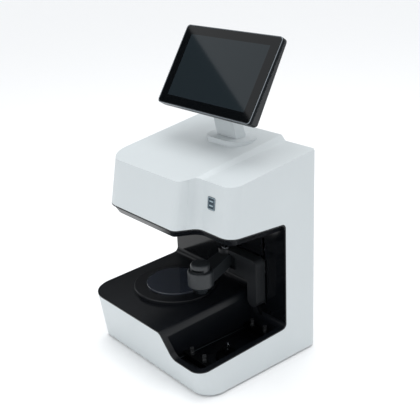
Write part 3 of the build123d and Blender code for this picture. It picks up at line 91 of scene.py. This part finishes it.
forward = Vector((
    -math.sin(CAMERA_BEARING) * math.cos(CAMERA_HEIGHT_ANGLE),
    math.cos(CAMERA_BEARING) * math.cos(CAMERA_HEIGHT_ANGLE),
    -math.sin(CAMERA_HEIGHT_ANGLE),
))
level_right = Vector((math.cos(CAMERA_BEARING), math.sin(CAMERA_BEARING), 0.0))
level_up = level_right.cross(forward)
right = level_right * math.cos(CAMERA_ROLL) + level_up * math.sin(CAMERA_ROLL)
up = level_up * math.cos(CAMERA_ROLL) - level_right * math.sin(CAMERA_ROLL)
camera_data = bpy.data.cameras.new("camera")
camera_data.lens = CAMERA_LENS
camera = bpy.data.objects.new("camera", camera_data)
bpy.context.scene.collection.objects.link(camera)
turn = Matrix((right, up, -forward)).transposed().to_4x4()
camera.matrix_world = Matrix.Translation(CAMERA_PLACE) @ turn
bpy.context.scene.camera = camera
print("camera stands", round((CAMERA_PLACE - (cad_box[0] + cad_box[1]) / 2).length, 2), "m from the unit")

# %% [markdown]
# ## Colours and one node helper
# Colours are written as the hex values a paint chart gives, and one function turns them into the
# linear numbers that Blender works in. One helper adds any node, with its settings and its links.


# %% Colour and node helpers
# The Mix node has sockets for numbers, vectors and colours. These are the places of the colour ones.
MIX_FIRST = 6
MIX_SECOND = 7
MIX_RESULT = 2


def linear(hex_colour):
    """An sRGB hex colour as linear red, green, blue and alpha."""
    channels = [int(hex_colour[start:start + 2], 16) / 255 for start in (1, 3, 5)]
    curve = [c / 12.92 if c <= 0.04045 else ((c + 0.055) / 1.055) ** 2.4 for c in channels]
    return (*curve, 1.0)


def add(material, kind, feeds, **settings):
    """One new node. A feed is a plain value or another node's output socket."""
    tree = material.node_tree
    node = tree.nodes.new(kind)
    for name, value in settings.items():
        setattr(node, name, value)
    for name, value in feeds.items():
        if isinstance(value, bpy.types.NodeSocket):
            tree.links.new(value, node.inputs[name])
        else:
            node.inputs[name].default_value = value
    return node


def start_material(name, **surface):
    """A material whose Principled shader has these settings, and the shader node."""
    material = bpy.data.materials.new(name)
    material.use_nodes = True
    shader = material.node_tree.nodes["Principled BSDF"]
    for key, value in surface.items():
        shader.inputs[key.replace("_", " ").title().replace("Ior", "IOR")].default_value = value
    return material, shader


def link(material, output, socket):
    """Joins an output socket to an input socket of the same material."""
    material.node_tree.links.new(output, socket)


def two_tones(material, shader, share, first, second):
    """Base colour that goes from the first hex colour to the second as the share goes from 0 to 1."""
    tone = add(material, "ShaderNodeMix", {"Factor": share}, data_type="RGBA")
    tone.inputs[MIX_FIRST].default_value = linear(first)
    tone.inputs[MIX_SECOND].default_value = linear(second)
    link(material, tone.outputs[MIX_RESULT], shader.inputs["Base Color"])


def per_metre(size_mm):
    """Scale of a noise or cell pattern whose features are this many millimetres across."""
    return 1.0 / (size_mm * MM)


finishes = {}
print("helpers ready")

# %% [markdown]
# ## Moulded plastics
# The casing is injection moulded ABS. The white shells have a fine satin grain from a spark eroded
# mould, which is a low bump of about half a millimetre, drawn here at 1.2 mm so that it can be seen.
# A wide faint noise stands for the slight unevenness of a large moulding. The bay lining is the same
# process in black, and the rear wall of the bay is a polished panel.


# %% Plastic materials
GRAIN_STRENGTH = 0.6
PLASTIC_ROUGHNESS_DRIFT = 0.04


def moulded_plastic(name, light, dark, roughness, grain_mm, grain_depth_mm, drift_mm, ior=1.5):
    """A moulded plastic: two close tones that drift across it, and a mould grain."""
    material, shader = start_material(name, ior=ior)
    place = add(material, "ShaderNodeTexCoord", {}).outputs["Object"]
    drift = add(material, "ShaderNodeTexNoise", {
        "Vector": place, "Scale": per_metre(drift_mm), "Detail": 3.0,
    })
    two_tones(material, shader, drift.outputs["Fac"], dark, light)
    grain = add(material, "ShaderNodeTexNoise", {
        "Vector": place, "Scale": per_metre(grain_mm), "Detail": 2.0,
    })
    bump = add(material, "ShaderNodeBump", {
        "Height": grain.outputs["Fac"], "Strength": GRAIN_STRENGTH, "Distance": grain_depth_mm * MM,
    })
    link(material, bump.outputs["Normal"], shader.inputs["Normal"])
    sheen = add(material, "ShaderNodeMapRange", {
        "Value": drift.outputs["Fac"],
        "To Min": roughness - PLASTIC_ROUGHNESS_DRIFT,
        "To Max": roughness + PLASTIC_ROUGHNESS_DRIFT,
    })
    link(material, sheen.outputs["Result"], shader.inputs["Roughness"])
    return material


# White ABS, satin: soft wide highlights, cool white
finishes["white_abs"] = moulded_plastic(
    "moulded_white_abs", "#CBD1D3", "#C5CBCD",
    roughness=0.42, grain_mm=1.2, grain_depth_mm=0.012, drift_mm=90,
)
# Black ABS lining, satin: grey sheen at grazing angles
finishes["black_lining"] = moulded_plastic(
    "moulded_black_abs", "#0D1014", "#0A0C10",
    roughness=0.3, grain_mm=1.2, grain_depth_mm=0.012, drift_mm=60,
    ior=1.36,
)
# Polished black panel: sharp, dark reflections of the table and the arm
finishes["gloss_lining"] = moulded_plastic(
    "polished_black_abs", "#0A0C0F", "#07090C",
    roughness=0.12, grain_mm=6.0, grain_depth_mm=0.004, drift_mm=60,
    ior=1.4,
)
# Small black mouldings: inlet, fan, switch, lamp cup and the clamp posts of the tracer
finishes["black_component"] = moulded_plastic(
    "moulded_black_nylon", "#17191B", "#101214",
    roughness=0.5, grain_mm=0.8, grain_depth_mm=0.02, drift_mm=20,
)
# Rear of the display and carrier of the arm: coarse leather-like mould texture
finishes["textured_abs"] = moulded_plastic(
    "textured_dark_abs", "#1B1E21", "#15181B",
    roughness=0.46, grain_mm=1.6, grain_depth_mm=0.05, drift_mm=40,
)
# Rubber feet and belt: dull, nearly no highlight
finishes["rubber"] = moulded_plastic(
    "moulded_black_rubber", "#16171A", "#0F1012",
    roughness=0.85, grain_mm=0.9, grain_depth_mm=0.05, drift_mm=10,
)
print("plastics:", sorted(finishes))

# %% [markdown]
# ## Metals
# Bare metals are the same shader with full metallic and a colour. What tells them apart is how the
# surface was made: zinc crystals on galvanised sheet, turning rings on machined parts, a fine blast
# under the black anodising, and orange peel in sprayed paint.


# %% Metal materials
MARK_STRENGTH = 0.5
METAL_ROUGHNESS_DRIFT = 0.06
ALL_ROUND = (1.0, 1.0, 1.0)
ALONG_SHAFT = (1.0, 1.0, 14.0)


def metal(name, light, dark, roughness, pattern_mm, depth_mm, metallic=1.0, stretch=ALL_ROUND):
    """A metal whose finish is a noise of a real size, which may be drawn out along an axis."""
    material, shader = start_material(name, metallic=metallic)
    place = add(material, "ShaderNodeTexCoord", {}).outputs["Object"]
    laid = add(material, "ShaderNodeMapping", {"Vector": place, "Scale": stretch})
    marks = add(material, "ShaderNodeTexNoise", {
        "Vector": laid.outputs["Vector"], "Scale": per_metre(pattern_mm), "Detail": 3.0,
    })
    two_tones(material, shader, marks.outputs["Fac"], dark, light)
    bump = add(material, "ShaderNodeBump", {
        "Height": marks.outputs["Fac"], "Strength": MARK_STRENGTH, "Distance": depth_mm * MM,
    })
    link(material, bump.outputs["Normal"], shader.inputs["Normal"])
    worn = add(material, "ShaderNodeMapRange", {
        "Value": marks.outputs["Fac"],
        "To Min": roughness - METAL_ROUGHNESS_DRIFT,
        "To Max": roughness + METAL_ROUGHNESS_DRIFT,
    })
    link(material, worn.outputs["Result"], shader.inputs["Roughness"])
    return material


# Ground and polished shafts: rings round the bar, which lie close together along it
finishes["ground_steel"] = metal(
    "ground_steel", "#C9CDD1", "#AEB3B8",
    roughness=0.22, pattern_mm=9, depth_mm=0.01, stretch=ALONG_SHAFT,
)
finishes["aluminium"] = metal(
    "machined_aluminium", "#D3D5D8", "#BEC1C5",
    roughness=0.32, pattern_mm=6, depth_mm=0.01, stretch=ALONG_SHAFT,
)
finishes["brass"] = metal(
    "machined_brass", "#CFAE6A", "#B99553",
    roughness=0.3, pattern_mm=6, depth_mm=0.01, stretch=ALONG_SHAFT,
)
finishes["zinc_screw"] = metal(
    "zinc_plated_steel", "#BFC4C8", "#A7ADB3",
    roughness=0.3, pattern_mm=1.5, depth_mm=0.01,
)
# Black anodised and blasted aluminium: dark, with a soft metallic edge light
finishes["anodised_black"] = metal(
    "black_anodised_aluminium", "#1E2124", "#15181A",
    roughness=0.36, pattern_mm=0.8, depth_mm=0.01,
)
# Dark grey paint on the cast arm: fine orange peel, satin
finishes["grey_paint"] = metal(
    "satin_grey_paint", "#272B2E", "#212528",
    roughness=0.4, pattern_mm=1.4, depth_mm=0.015, metallic=0.0,
)
# Bevel of the display frame: a paler metal colour is painted on it, so that it shows as a fine pale
# highlight line round the display
painted_highlight_chamfer = metal(
    "painted_highlight_chamfer", "#8E9499", "#7C8288",
    roughness=0.2, pattern_mm=4, depth_mm=0.002,
)
print("metals:", len(finishes), "finishes so far")

# %% [markdown]
# Galvanised sheet shows flat zinc crystals about 9 mm across, each of its own grey. A Voronoi
# texture is made of such cells, so its cell colour gives the tone and the roughness.

# %% Galvanised sheet
ZINC_CRYSTAL_MM = 9

galvanised, shader = start_material("galvanised_steel_sheet", metallic=1.0)
place = add(galvanised, "ShaderNodeTexCoord", {}).outputs["Object"]
cells = add(galvanised, "ShaderNodeTexVoronoi", {"Vector": place, "Scale": per_metre(ZINC_CRYSTAL_MM)})
grey = add(galvanised, "ShaderNodeRGBToBW", {"Color": cells.outputs["Color"]})
two_tones(galvanised, shader, grey.outputs["Val"], "#9AA0A4", "#C4C9CC")
crystal = add(galvanised, "ShaderNodeMapRange", {
    "Value": grey.outputs["Val"], "To Min": 0.3, "To Max": 0.5,
})
link(galvanised, crystal.outputs["Result"], shader.inputs["Roughness"])
finishes["galvanised_steel"] = galvanised
print("galvanised sheet ready")

# %% [markdown]
# Circuit boards are glass fibre under green solder mask, with paler lines where copper tracks lie
# under it. A brick texture of long thin bricks gives tracks that run side by side.

# %% Circuit board
TRACK_LENGTH = 24 * MM
TRACK_PITCH = 2.4 * MM
TRACK_GAP = 0.4 * MM

board, shader = start_material("solder_masked_board", roughness=0.35)
place = add(board, "ShaderNodeTexCoord", {}).outputs["Object"]
tracks = add(board, "ShaderNodeTexBrick", {
    "Vector": place, "Scale": 1.0,
    "Mortar Size": TRACK_GAP, "Brick Width": TRACK_LENGTH, "Row Height": TRACK_PITCH,
    "Color1": linear("#0E4A2C"), "Color2": linear("#125735"), "Mortar": linear("#1E7A4A"),
})
link(board, tracks.outputs["Color"], shader.inputs["Base Color"])
finishes["circuit_board"] = board
print("circuit board ready")

# %% [markdown]
# ## Glass
# The lens table is dark tinted glass, polished, so it mirrors the arm and the wall. The camera
# window is clear. The display has one sheet of glass with a black border printed behind it, and the
# lit area shows as a slightly greyer rectangle when the panel is off.

# %% Table glass and window glass
# Traces of wiping on the table vary its roughness, and dust on the window varies its tone
WIPING_MARK_MM = 25
DUST_MM = 8

table_glass, shader = start_material(
    "polished_tinted_glass", ior=1.52, coat_weight=0.6, coat_roughness=0.02,
)
place = add(table_glass, "ShaderNodeTexCoord", {}).outputs["Object"]
wiping = add(table_glass, "ShaderNodeTexNoise", {
    "Vector": place, "Scale": per_metre(WIPING_MARK_MM), "Detail": 4.0,
})
two_tones(table_glass, shader, wiping.outputs["Fac"], "#272B33", "#2E333C")
smear = add(table_glass, "ShaderNodeMapRange", {
    "Value": wiping.outputs["Fac"], "To Min": 0.05, "To Max": 0.12,
})
link(table_glass, smear.outputs["Result"], shader.inputs["Roughness"])
finishes["table_glass"] = table_glass

window, shader = start_material("clear_window_glass", ior=1.52, transmission_weight=1.0, roughness=0.03)
place = add(window, "ShaderNodeTexCoord", {}).outputs["Object"]
dust = add(window, "ShaderNodeTexNoise", {"Vector": place, "Scale": per_metre(DUST_MM)})
two_tones(window, shader, dust.outputs["Fac"], "#E4EEEC", "#F0F6F5")
finishes["clear_glass"] = window
print("table and window glass ready")

# %% [markdown]
# The border print is found from the place of the CAD panel: two vector nodes bring the middle of the
# screen to the origin and lay it flat, and two comparisons then say whether a point is over the
# lit area. It reads Object coordinates, so it stays on the glass when the display tilts.

# %% Display glass
# The border print reaches this far over the panel's upper and lower edge
PRINT_OVERLAP = 0.5 * MM
PANEL_HAZE_MM = 30

glass_low, glass_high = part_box("display_glass")
panel_low, panel_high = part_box("display_panel")
lean = math.atan2(glass_high.z - glass_low.z, glass_high.y - glass_low.y)
panel_middle = (panel_low + panel_high) / 2
lit_half_width = (panel_high.x - panel_low.x) / 2
lit_half_height = math.hypot(panel_high.y - panel_low.y, panel_high.z - panel_low.z) / 2 - PRINT_OVERLAP

screen, shader = start_material("printed_cover_glass", ior=1.36, roughness=0.05)
place = add(screen, "ShaderNodeTexCoord", {}).outputs["Object"]
centred = add(screen, "ShaderNodeVectorMath", {0: place, 1: tuple(-panel_middle)}, operation="ADD")
flat = add(screen, "ShaderNodeVectorRotate", {
    "Vector": centred.outputs["Vector"], "Angle": -lean, "Axis": (1.0, 0.0, 0.0),
})
across = add(screen, "ShaderNodeSeparateXYZ", {"Vector": flat.outputs["Vector"]})
inside = []
for axis, half in (("X", lit_half_width), ("Y", lit_half_height)):
    distance = add(screen, "ShaderNodeMath", {0: across.outputs[axis]}, operation="ABSOLUTE")
    edge = add(screen, "ShaderNodeMath", {0: distance.outputs[0], 1: half}, operation="LESS_THAN")
    inside.append(edge.outputs[0])
lit = add(screen, "ShaderNodeMath", {0: inside[0], 1: inside[1]}, operation="MULTIPLY")
two_tones(screen, shader, lit.outputs[0], "#07090B", "#1D2428")
finishes["screen_glass"] = screen

panel, shader = start_material("switched_off_panel", base_color=linear("#1B2125"), roughness=0.2, ior=1.5)
place = add(panel, "ShaderNodeTexCoord", {}).outputs["Object"]
haze = add(panel, "ShaderNodeTexNoise", {"Vector": place, "Scale": per_metre(PANEL_HAZE_MM)})
gloss = add(panel, "ShaderNodeMapRange", {"Value": haze.outputs["Fac"], "To Min": 0.16, "To Max": 0.26})
link(panel, gloss.outputs["Result"], shader.inputs["Roughness"])
finishes["lcd_panel"] = panel
print("screen leans", round(math.degrees(lean), 1), "degrees")
print("lit area", round(2 * lit_half_width / MM, 1), "by", round(2 * lit_half_height / MM, 1), "mm")

# %% [markdown]
# ## Badge
# The head has a small foil plate. It is given a plain design of its own: a dark field, a pale
# border line and two pale bars, with no lettering.

# %% Badge foil
badge_low, badge_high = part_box("head_badge")
badge_middle = (badge_low + badge_high) / 2
badge_half = ((badge_high.x - badge_low.x) / 2, (badge_high.z - badge_low.z) / 2)
BADGE_LINE = 1.1 * MM
BADGE_MARGIN = 1.6 * MM
BAR_RISE = 4.0 * MM
BAR_HALF_THICKNESS = 1.2 * MM
BAR_HALF_LENGTH = 5.0 * MM

foil, shader = start_material("embossed_foil", metallic=0.8, roughness=0.3)
place = add(foil, "ShaderNodeTexCoord", {}).outputs["Object"]
centred = add(foil, "ShaderNodeVectorMath", {0: place, 1: tuple(-badge_middle)}, operation="ADD")
across = add(foil, "ShaderNodeSeparateXYZ", {"Vector": centred.outputs["Vector"]})
side = add(foil, "ShaderNodeMath", {0: across.outputs["X"]}, operation="ABSOLUTE")
rise = add(foil, "ShaderNodeMath", {0: across.outputs["Z"]}, operation="ABSOLUTE")
from_side = add(foil, "ShaderNodeMath", {0: badge_half[0], 1: side.outputs[0]}, operation="SUBTRACT")
from_top = add(foil, "ShaderNodeMath", {0: badge_half[1], 1: rise.outputs[0]}, operation="SUBTRACT")
to_edge = add(foil, "ShaderNodeMath", {0: from_side.outputs[0], 1: from_top.outputs[0]}, operation="MINIMUM")
border = add(foil, "ShaderNodeMath", {
    0: to_edge.outputs[0], 1: BADGE_MARGIN, 2: BADGE_LINE / 2,
}, operation="COMPARE")
bar_place = add(foil, "ShaderNodeMath", {
    0: rise.outputs[0], 1: BAR_RISE, 2: BAR_HALF_THICKNESS,
}, operation="COMPARE")
bar_reach = add(foil, "ShaderNodeMath", {0: side.outputs[0], 1: BAR_HALF_LENGTH}, operation="LESS_THAN")
bars = add(foil, "ShaderNodeMath", {0: bar_place.outputs[0], 1: bar_reach.outputs[0]}, operation="MULTIPLY")
mark = add(foil, "ShaderNodeMath", {0: border.outputs[0], 1: bars.outputs[0]}, operation="MAXIMUM")
two_tones(foil, shader, mark.outputs[0], "#3C4750", "#9FB0B8")
finishes["badge_foil"] = foil
print("badge", [round(2 * half / MM, 1) for half in badge_half], "mm")

# %% [markdown]
# ## Finishes on the CAD nodes
# Every CAD node says which slot of the record it belongs to, so one loop gives each its material.

# %% Put the finishes on
for name, cad_object in NODES.items():
    cad_object.data.materials.clear()
    cad_object.data.materials.append(finishes[SLOT_OF[name]])
print(len(NODES), "nodes finished with", len(finishes), "materials")

# %% [markdown]
# ## Edges
# A real part never has a knife edge. Moulded, cast and cut pieces all have a small round, and that
# round is what catches the light. The CAD meshes are loose triangles, so a copy is merged, its flat
# faces are joined, and the edges that stick out are bevelled. The copy then stands for the node.


# %% Helpers for rounded copies
# A face larger than 40 square centimetres is a plane wall, so it is shaded flat, in square metres
FLAT_AREA = 0.004
MERGE_DISTANCE = 0.002 * MM
SAME_PLANE_DEGREES = 0.4
SHARP_EDGE_DEGREES = 38


def merged_copy(node_name):
    """The node's mesh as a bmesh, with its corners merged and its flat faces joined."""
    mesh = bmesh.new()
    mesh.from_mesh(NODES[node_name].data)
    bmesh.ops.remove_doubles(mesh, verts=mesh.verts, dist=MERGE_DISTANCE)
    bmesh.ops.dissolve_limit(
        mesh, angle_limit=math.radians(SAME_PLANE_DEGREES), verts=mesh.verts, edges=mesh.edges,
        use_dissolve_boundaries=False,
    )
    return mesh


def outer_edges(mesh, least_degrees):
    """Edges that stick out by at least this angle."""
    least = math.radians(least_degrees)
    joined = [edge for edge in mesh.edges if len(edge.link_faces) == 2]
    return [edge for edge in joined if edge.is_convex and edge.calc_face_angle() > least]


def round_edges(mesh, edges, radius_mm, segments):
    """Rounds the edges and gives back the faces that the rounding made."""
    rounded = bmesh.ops.bevel(
        mesh, geom=edges, offset=radius_mm * MM, offset_type="OFFSET", segments=segments,
        profile=0.5, affect="EDGES", clamp_overlap=True, material=-1,
    )
    return rounded["faces"]


def stand_in(mesh, node_name, suffix):
    """Makes the finished bmesh an object that stands for the node and rides on its body."""
    data = bpy.data.meshes.new(f"{node_name}_{suffix}")
    mesh.to_mesh(data)
    mesh.free()
    data.materials.append(finishes[SLOT_OF[node_name]])
    data.shade_smooth()
    data.set_sharp_from_angle(angle=math.radians(SHARP_EDGE_DEGREES))
    for polygon in data.polygons:
        polygon.use_smooth = polygon.area < FLAT_AREA
    piece = bpy.data.objects.new(data.name, data)
    bpy.context.scene.collection.objects.link(piece)
    weights = piece.modifiers.new("even_shading", "WEIGHTED_NORMAL")
    weights.keep_sharp = True
    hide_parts(node_name)
    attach(piece, BODY_OF[node_name])
    return piece


# %% [markdown]
# ## White shells
# The two halves of the casing have a wide soft round along the top of the head and a small one on
# the lips of the bay. The wide round is put only on edges between the top and an upright side, and
# not on the rear lip, which is only as thick as the moulding.

# %% White shells
HEAD_ROUND = 5.0
HEAD_EDGE_DEGREES = 45
HEAD_SEGMENTS = 5
LIP_ROUND = 1.1
LIP_EDGE_DEGREES = 50
LIP_SEGMENTS = 2
# The top edges of the head lie in this upper part of the shells
HEAD_TOP_BAND = 90 * MM


def is_head_edge(edge):
    """Whether the edge lies between the head's top and its front or side, which both may lean a little."""
    upper, other = sorted((face.normal for face in edge.link_faces), key=lambda normal: -normal.z)
    faces_up = upper.z > 0.9
    stands_upright = abs(other.z) < 0.4
    faces_rear = other.y >= 0.75
    return faces_up and stands_upright and not faces_rear


for name in ("left_shell", "right_shell"):
    mesh = merged_copy(name)
    head_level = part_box(name)[1].z - HEAD_TOP_BAND
    sharp = outer_edges(mesh, HEAD_EDGE_DEGREES)
    wide = [edge for edge in sharp if is_head_edge(edge) and edge.verts[0].co.z > head_level]
    round_edges(mesh, wide, HEAD_ROUND, HEAD_SEGMENTS)
    lips = outer_edges(mesh, LIP_EDGE_DEGREES)
    round_edges(mesh, lips, LIP_ROUND, LIP_SEGMENTS)
    print(name, len(wide), "head edges,", len(lips), "lip edges,", len(mesh.faces), "faces")
    stand_in(mesh, name, "moulding")

# %% [markdown]
# ## Other pieces with visible edges
# The rest share the helper. Each radius is that of the real edge: half a millimetre on mouldings,
# less on machined metal and on cut glass.

# %% Rounded copies of the visible pieces
EDGE_RADII = {
    "bay_floor": 0.6, "bay_rear_wall": 0.6, "head_soffit": 1.0, "table_ring": 0.6, "table_plate": 0.3,
    "tracer_well": 0.6, "lift_saddle": 1.2, "blocking_arm": 1.5, "arm_head": 0.5, "arm_head_cap": 0.5,
    "block_chuck": 0.3, "front_slider": 0.6, "rear_slider": 0.6, "tracer_turntable": 0.3,
    "display_frame": 0.9, "display_glass": 0.3, "display_back": 1.5, "display_bracket": 0.6,
    "display_neck": 1.2, "stand_base": 1.0, "rear_cover": 0.4, "feet": 0.6, "head_badge": 0.2,
    "power_entry": 0.5, "power_rocker": 0.4, "port_block": 0.3, "fan_frame": 0.5, "fan_rotor": 0.3,
    "arm_pivot_pin": 0.4, "base_pan": 0.3,
}
EDGE_DEGREES = 30
EDGE_SEGMENTS = 2

for name, radius in EDGE_RADII.items():
    mesh = merged_copy(name)
    edges = outer_edges(mesh, EDGE_DEGREES)
    rounded = round_edges(mesh, edges, radius, EDGE_SEGMENTS)
    # The display frame's rounded edge faces take the paler metal that paints the highlight line round the
    # display
    for face in rounded:
        face.material_index = 1 if name == "display_frame" else 0
    piece = stand_in(mesh, name, "finished")
    if name == "display_frame":
        piece.data.materials.append(painted_highlight_chamfer)
    print(name, len(edges), "edges rounded at", radius, "mm")

# %% [markdown]
# ## Studio
# A plain pale floor, a soft even surround, a strong wide soft box above and a weak one in front, and
# dark flags that only show in glossy surfaces. They are not part of the object.


# %% Studio
def stage_plane(name, size, place, colour, aim=None):
    """A flat card or floor of the studio. With an aim, it faces that point."""
    mesh = bmesh.new()
    bmesh.ops.create_grid(mesh, x_segments=1, y_segments=1, size=0.5)
    bmesh.ops.scale(mesh, vec=(size[0], size[1], 1.0), verts=mesh.verts)
    data = bpy.data.meshes.new(name)
    mesh.to_mesh(data)
    mesh.free()
    material, _ = start_material(name + "_paint", base_color=linear(colour), roughness=0.9)
    data.materials.append(material)
    card = bpy.data.objects.new(name, data)
    bpy.context.scene.collection.objects.link(card)
    card.location = place
    if aim is not None:
        card.rotation_euler = (Vector(aim) - Vector(place)).to_track_quat("Z", "Y").to_euler()
    return card


def only_reflected(card):
    """A black flag that glossy surfaces mirror. It takes no light away and no camera sees it."""
    card.visible_camera = False
    card.visible_diffuse = False
    card.visible_shadow = False
    return card


def soft_box(name, size, place, aim, watts):
    """A rectangular studio light that faces a point."""
    lamp = bpy.data.lights.new(name, "AREA")
    lamp.shape = "RECTANGLE"
    lamp.size, lamp.size_y = size
    lamp.energy = watts
    light = bpy.data.objects.new(name, lamp)
    bpy.context.scene.collection.objects.link(light)
    light.location = place
    light.rotation_euler = (Vector(aim) - Vector(place)).to_track_quat("-Z", "Y").to_euler()
    return light


MIDDLE = (cad_box[0] + cad_box[1]) / 2
FLAG_BLACK = "#0C0E10"
stage_plane("floor", size=(60, 60), place=(0, 0, 0), colour="#FFFFFF")
soft_box("front_soft_box", size=(1.6, 1.2), place=(-0.3, -2.2, 1.9), aim=MIDDLE, watts=4.5)
soft_box("top_soft_box", size=(1.6, 1.6), place=(0.0, 0.2, 2.4), aim=MIDDLE, watts=20)
rear_flag = stage_plane(
    "rear_flag", size=(2.6, 1.3), place=(-1.25, 1.0, 0.6), colour=FLAG_BLACK, aim=(0, 0, 0.4),
)
only_reflected(rear_flag)

world = bpy.data.worlds.new("studio")
bpy.context.scene.world = world
world.use_nodes = True
surround = world.node_tree.nodes["Background"]
surround.inputs["Color"].default_value = linear("#F4F6F8")
surround.inputs["Strength"].default_value = 1.0
bpy.context.scene.view_settings.view_transform = "Standard"
print("studio ready")

# %% [markdown]
# The switched-off screen mirrors the room. A black flag stands where the screen looks, and its slanted
# edge shows as the diagonal between the dark and the paler half. The flag is found by mirroring the
# camera in the screen: its edge runs through the lines of sight to two corners of the lit area.

# %% Screen flag
# Distance of the flag, as a multiple of the mirrored camera's distance from the screen
FLAG_DISTANCE = 2.2
FLAG_SIZE = (1.5, 0.9)
screen_normal = Vector((0.0, -math.sin(lean), math.cos(lean)))
screen_up = Vector((0.0, math.cos(lean), math.sin(lean)))
half_across = Vector((lit_half_width, 0, 0))
half_up = screen_up * lit_half_height
top_left = panel_middle - half_across + half_up
low_right = panel_middle + half_across - half_up
low_left = panel_middle - half_across - half_up

mirrored_camera = CAMERA_PLACE - 2 * (CAMERA_PLACE - panel_middle).dot(screen_normal) * screen_normal
corners = (top_left, low_right, low_left)
edge_start, edge_end, dark_end = [
    mirrored_camera + (corner - mirrored_camera) * FLAG_DISTANCE for corner in corners
]
along = (edge_end - edge_start).normalized()
dark_side = (dark_end - edge_start) - (dark_end - edge_start).dot(along) * along
dark_side.normalize()
middle = (edge_start + edge_end) / 2 + dark_side * (FLAG_SIZE[1] / 2)

flag = only_reflected(stage_plane("screen_flag", size=FLAG_SIZE, place=(0, 0, 0), colour=FLAG_BLACK))
flag_turn = Matrix((along, dark_side, along.cross(dark_side))).transposed().to_4x4()
flag.matrix_world = Matrix.Translation(middle) @ flag_turn
print("screen flag stands at", [round(value, 2) for value in middle])
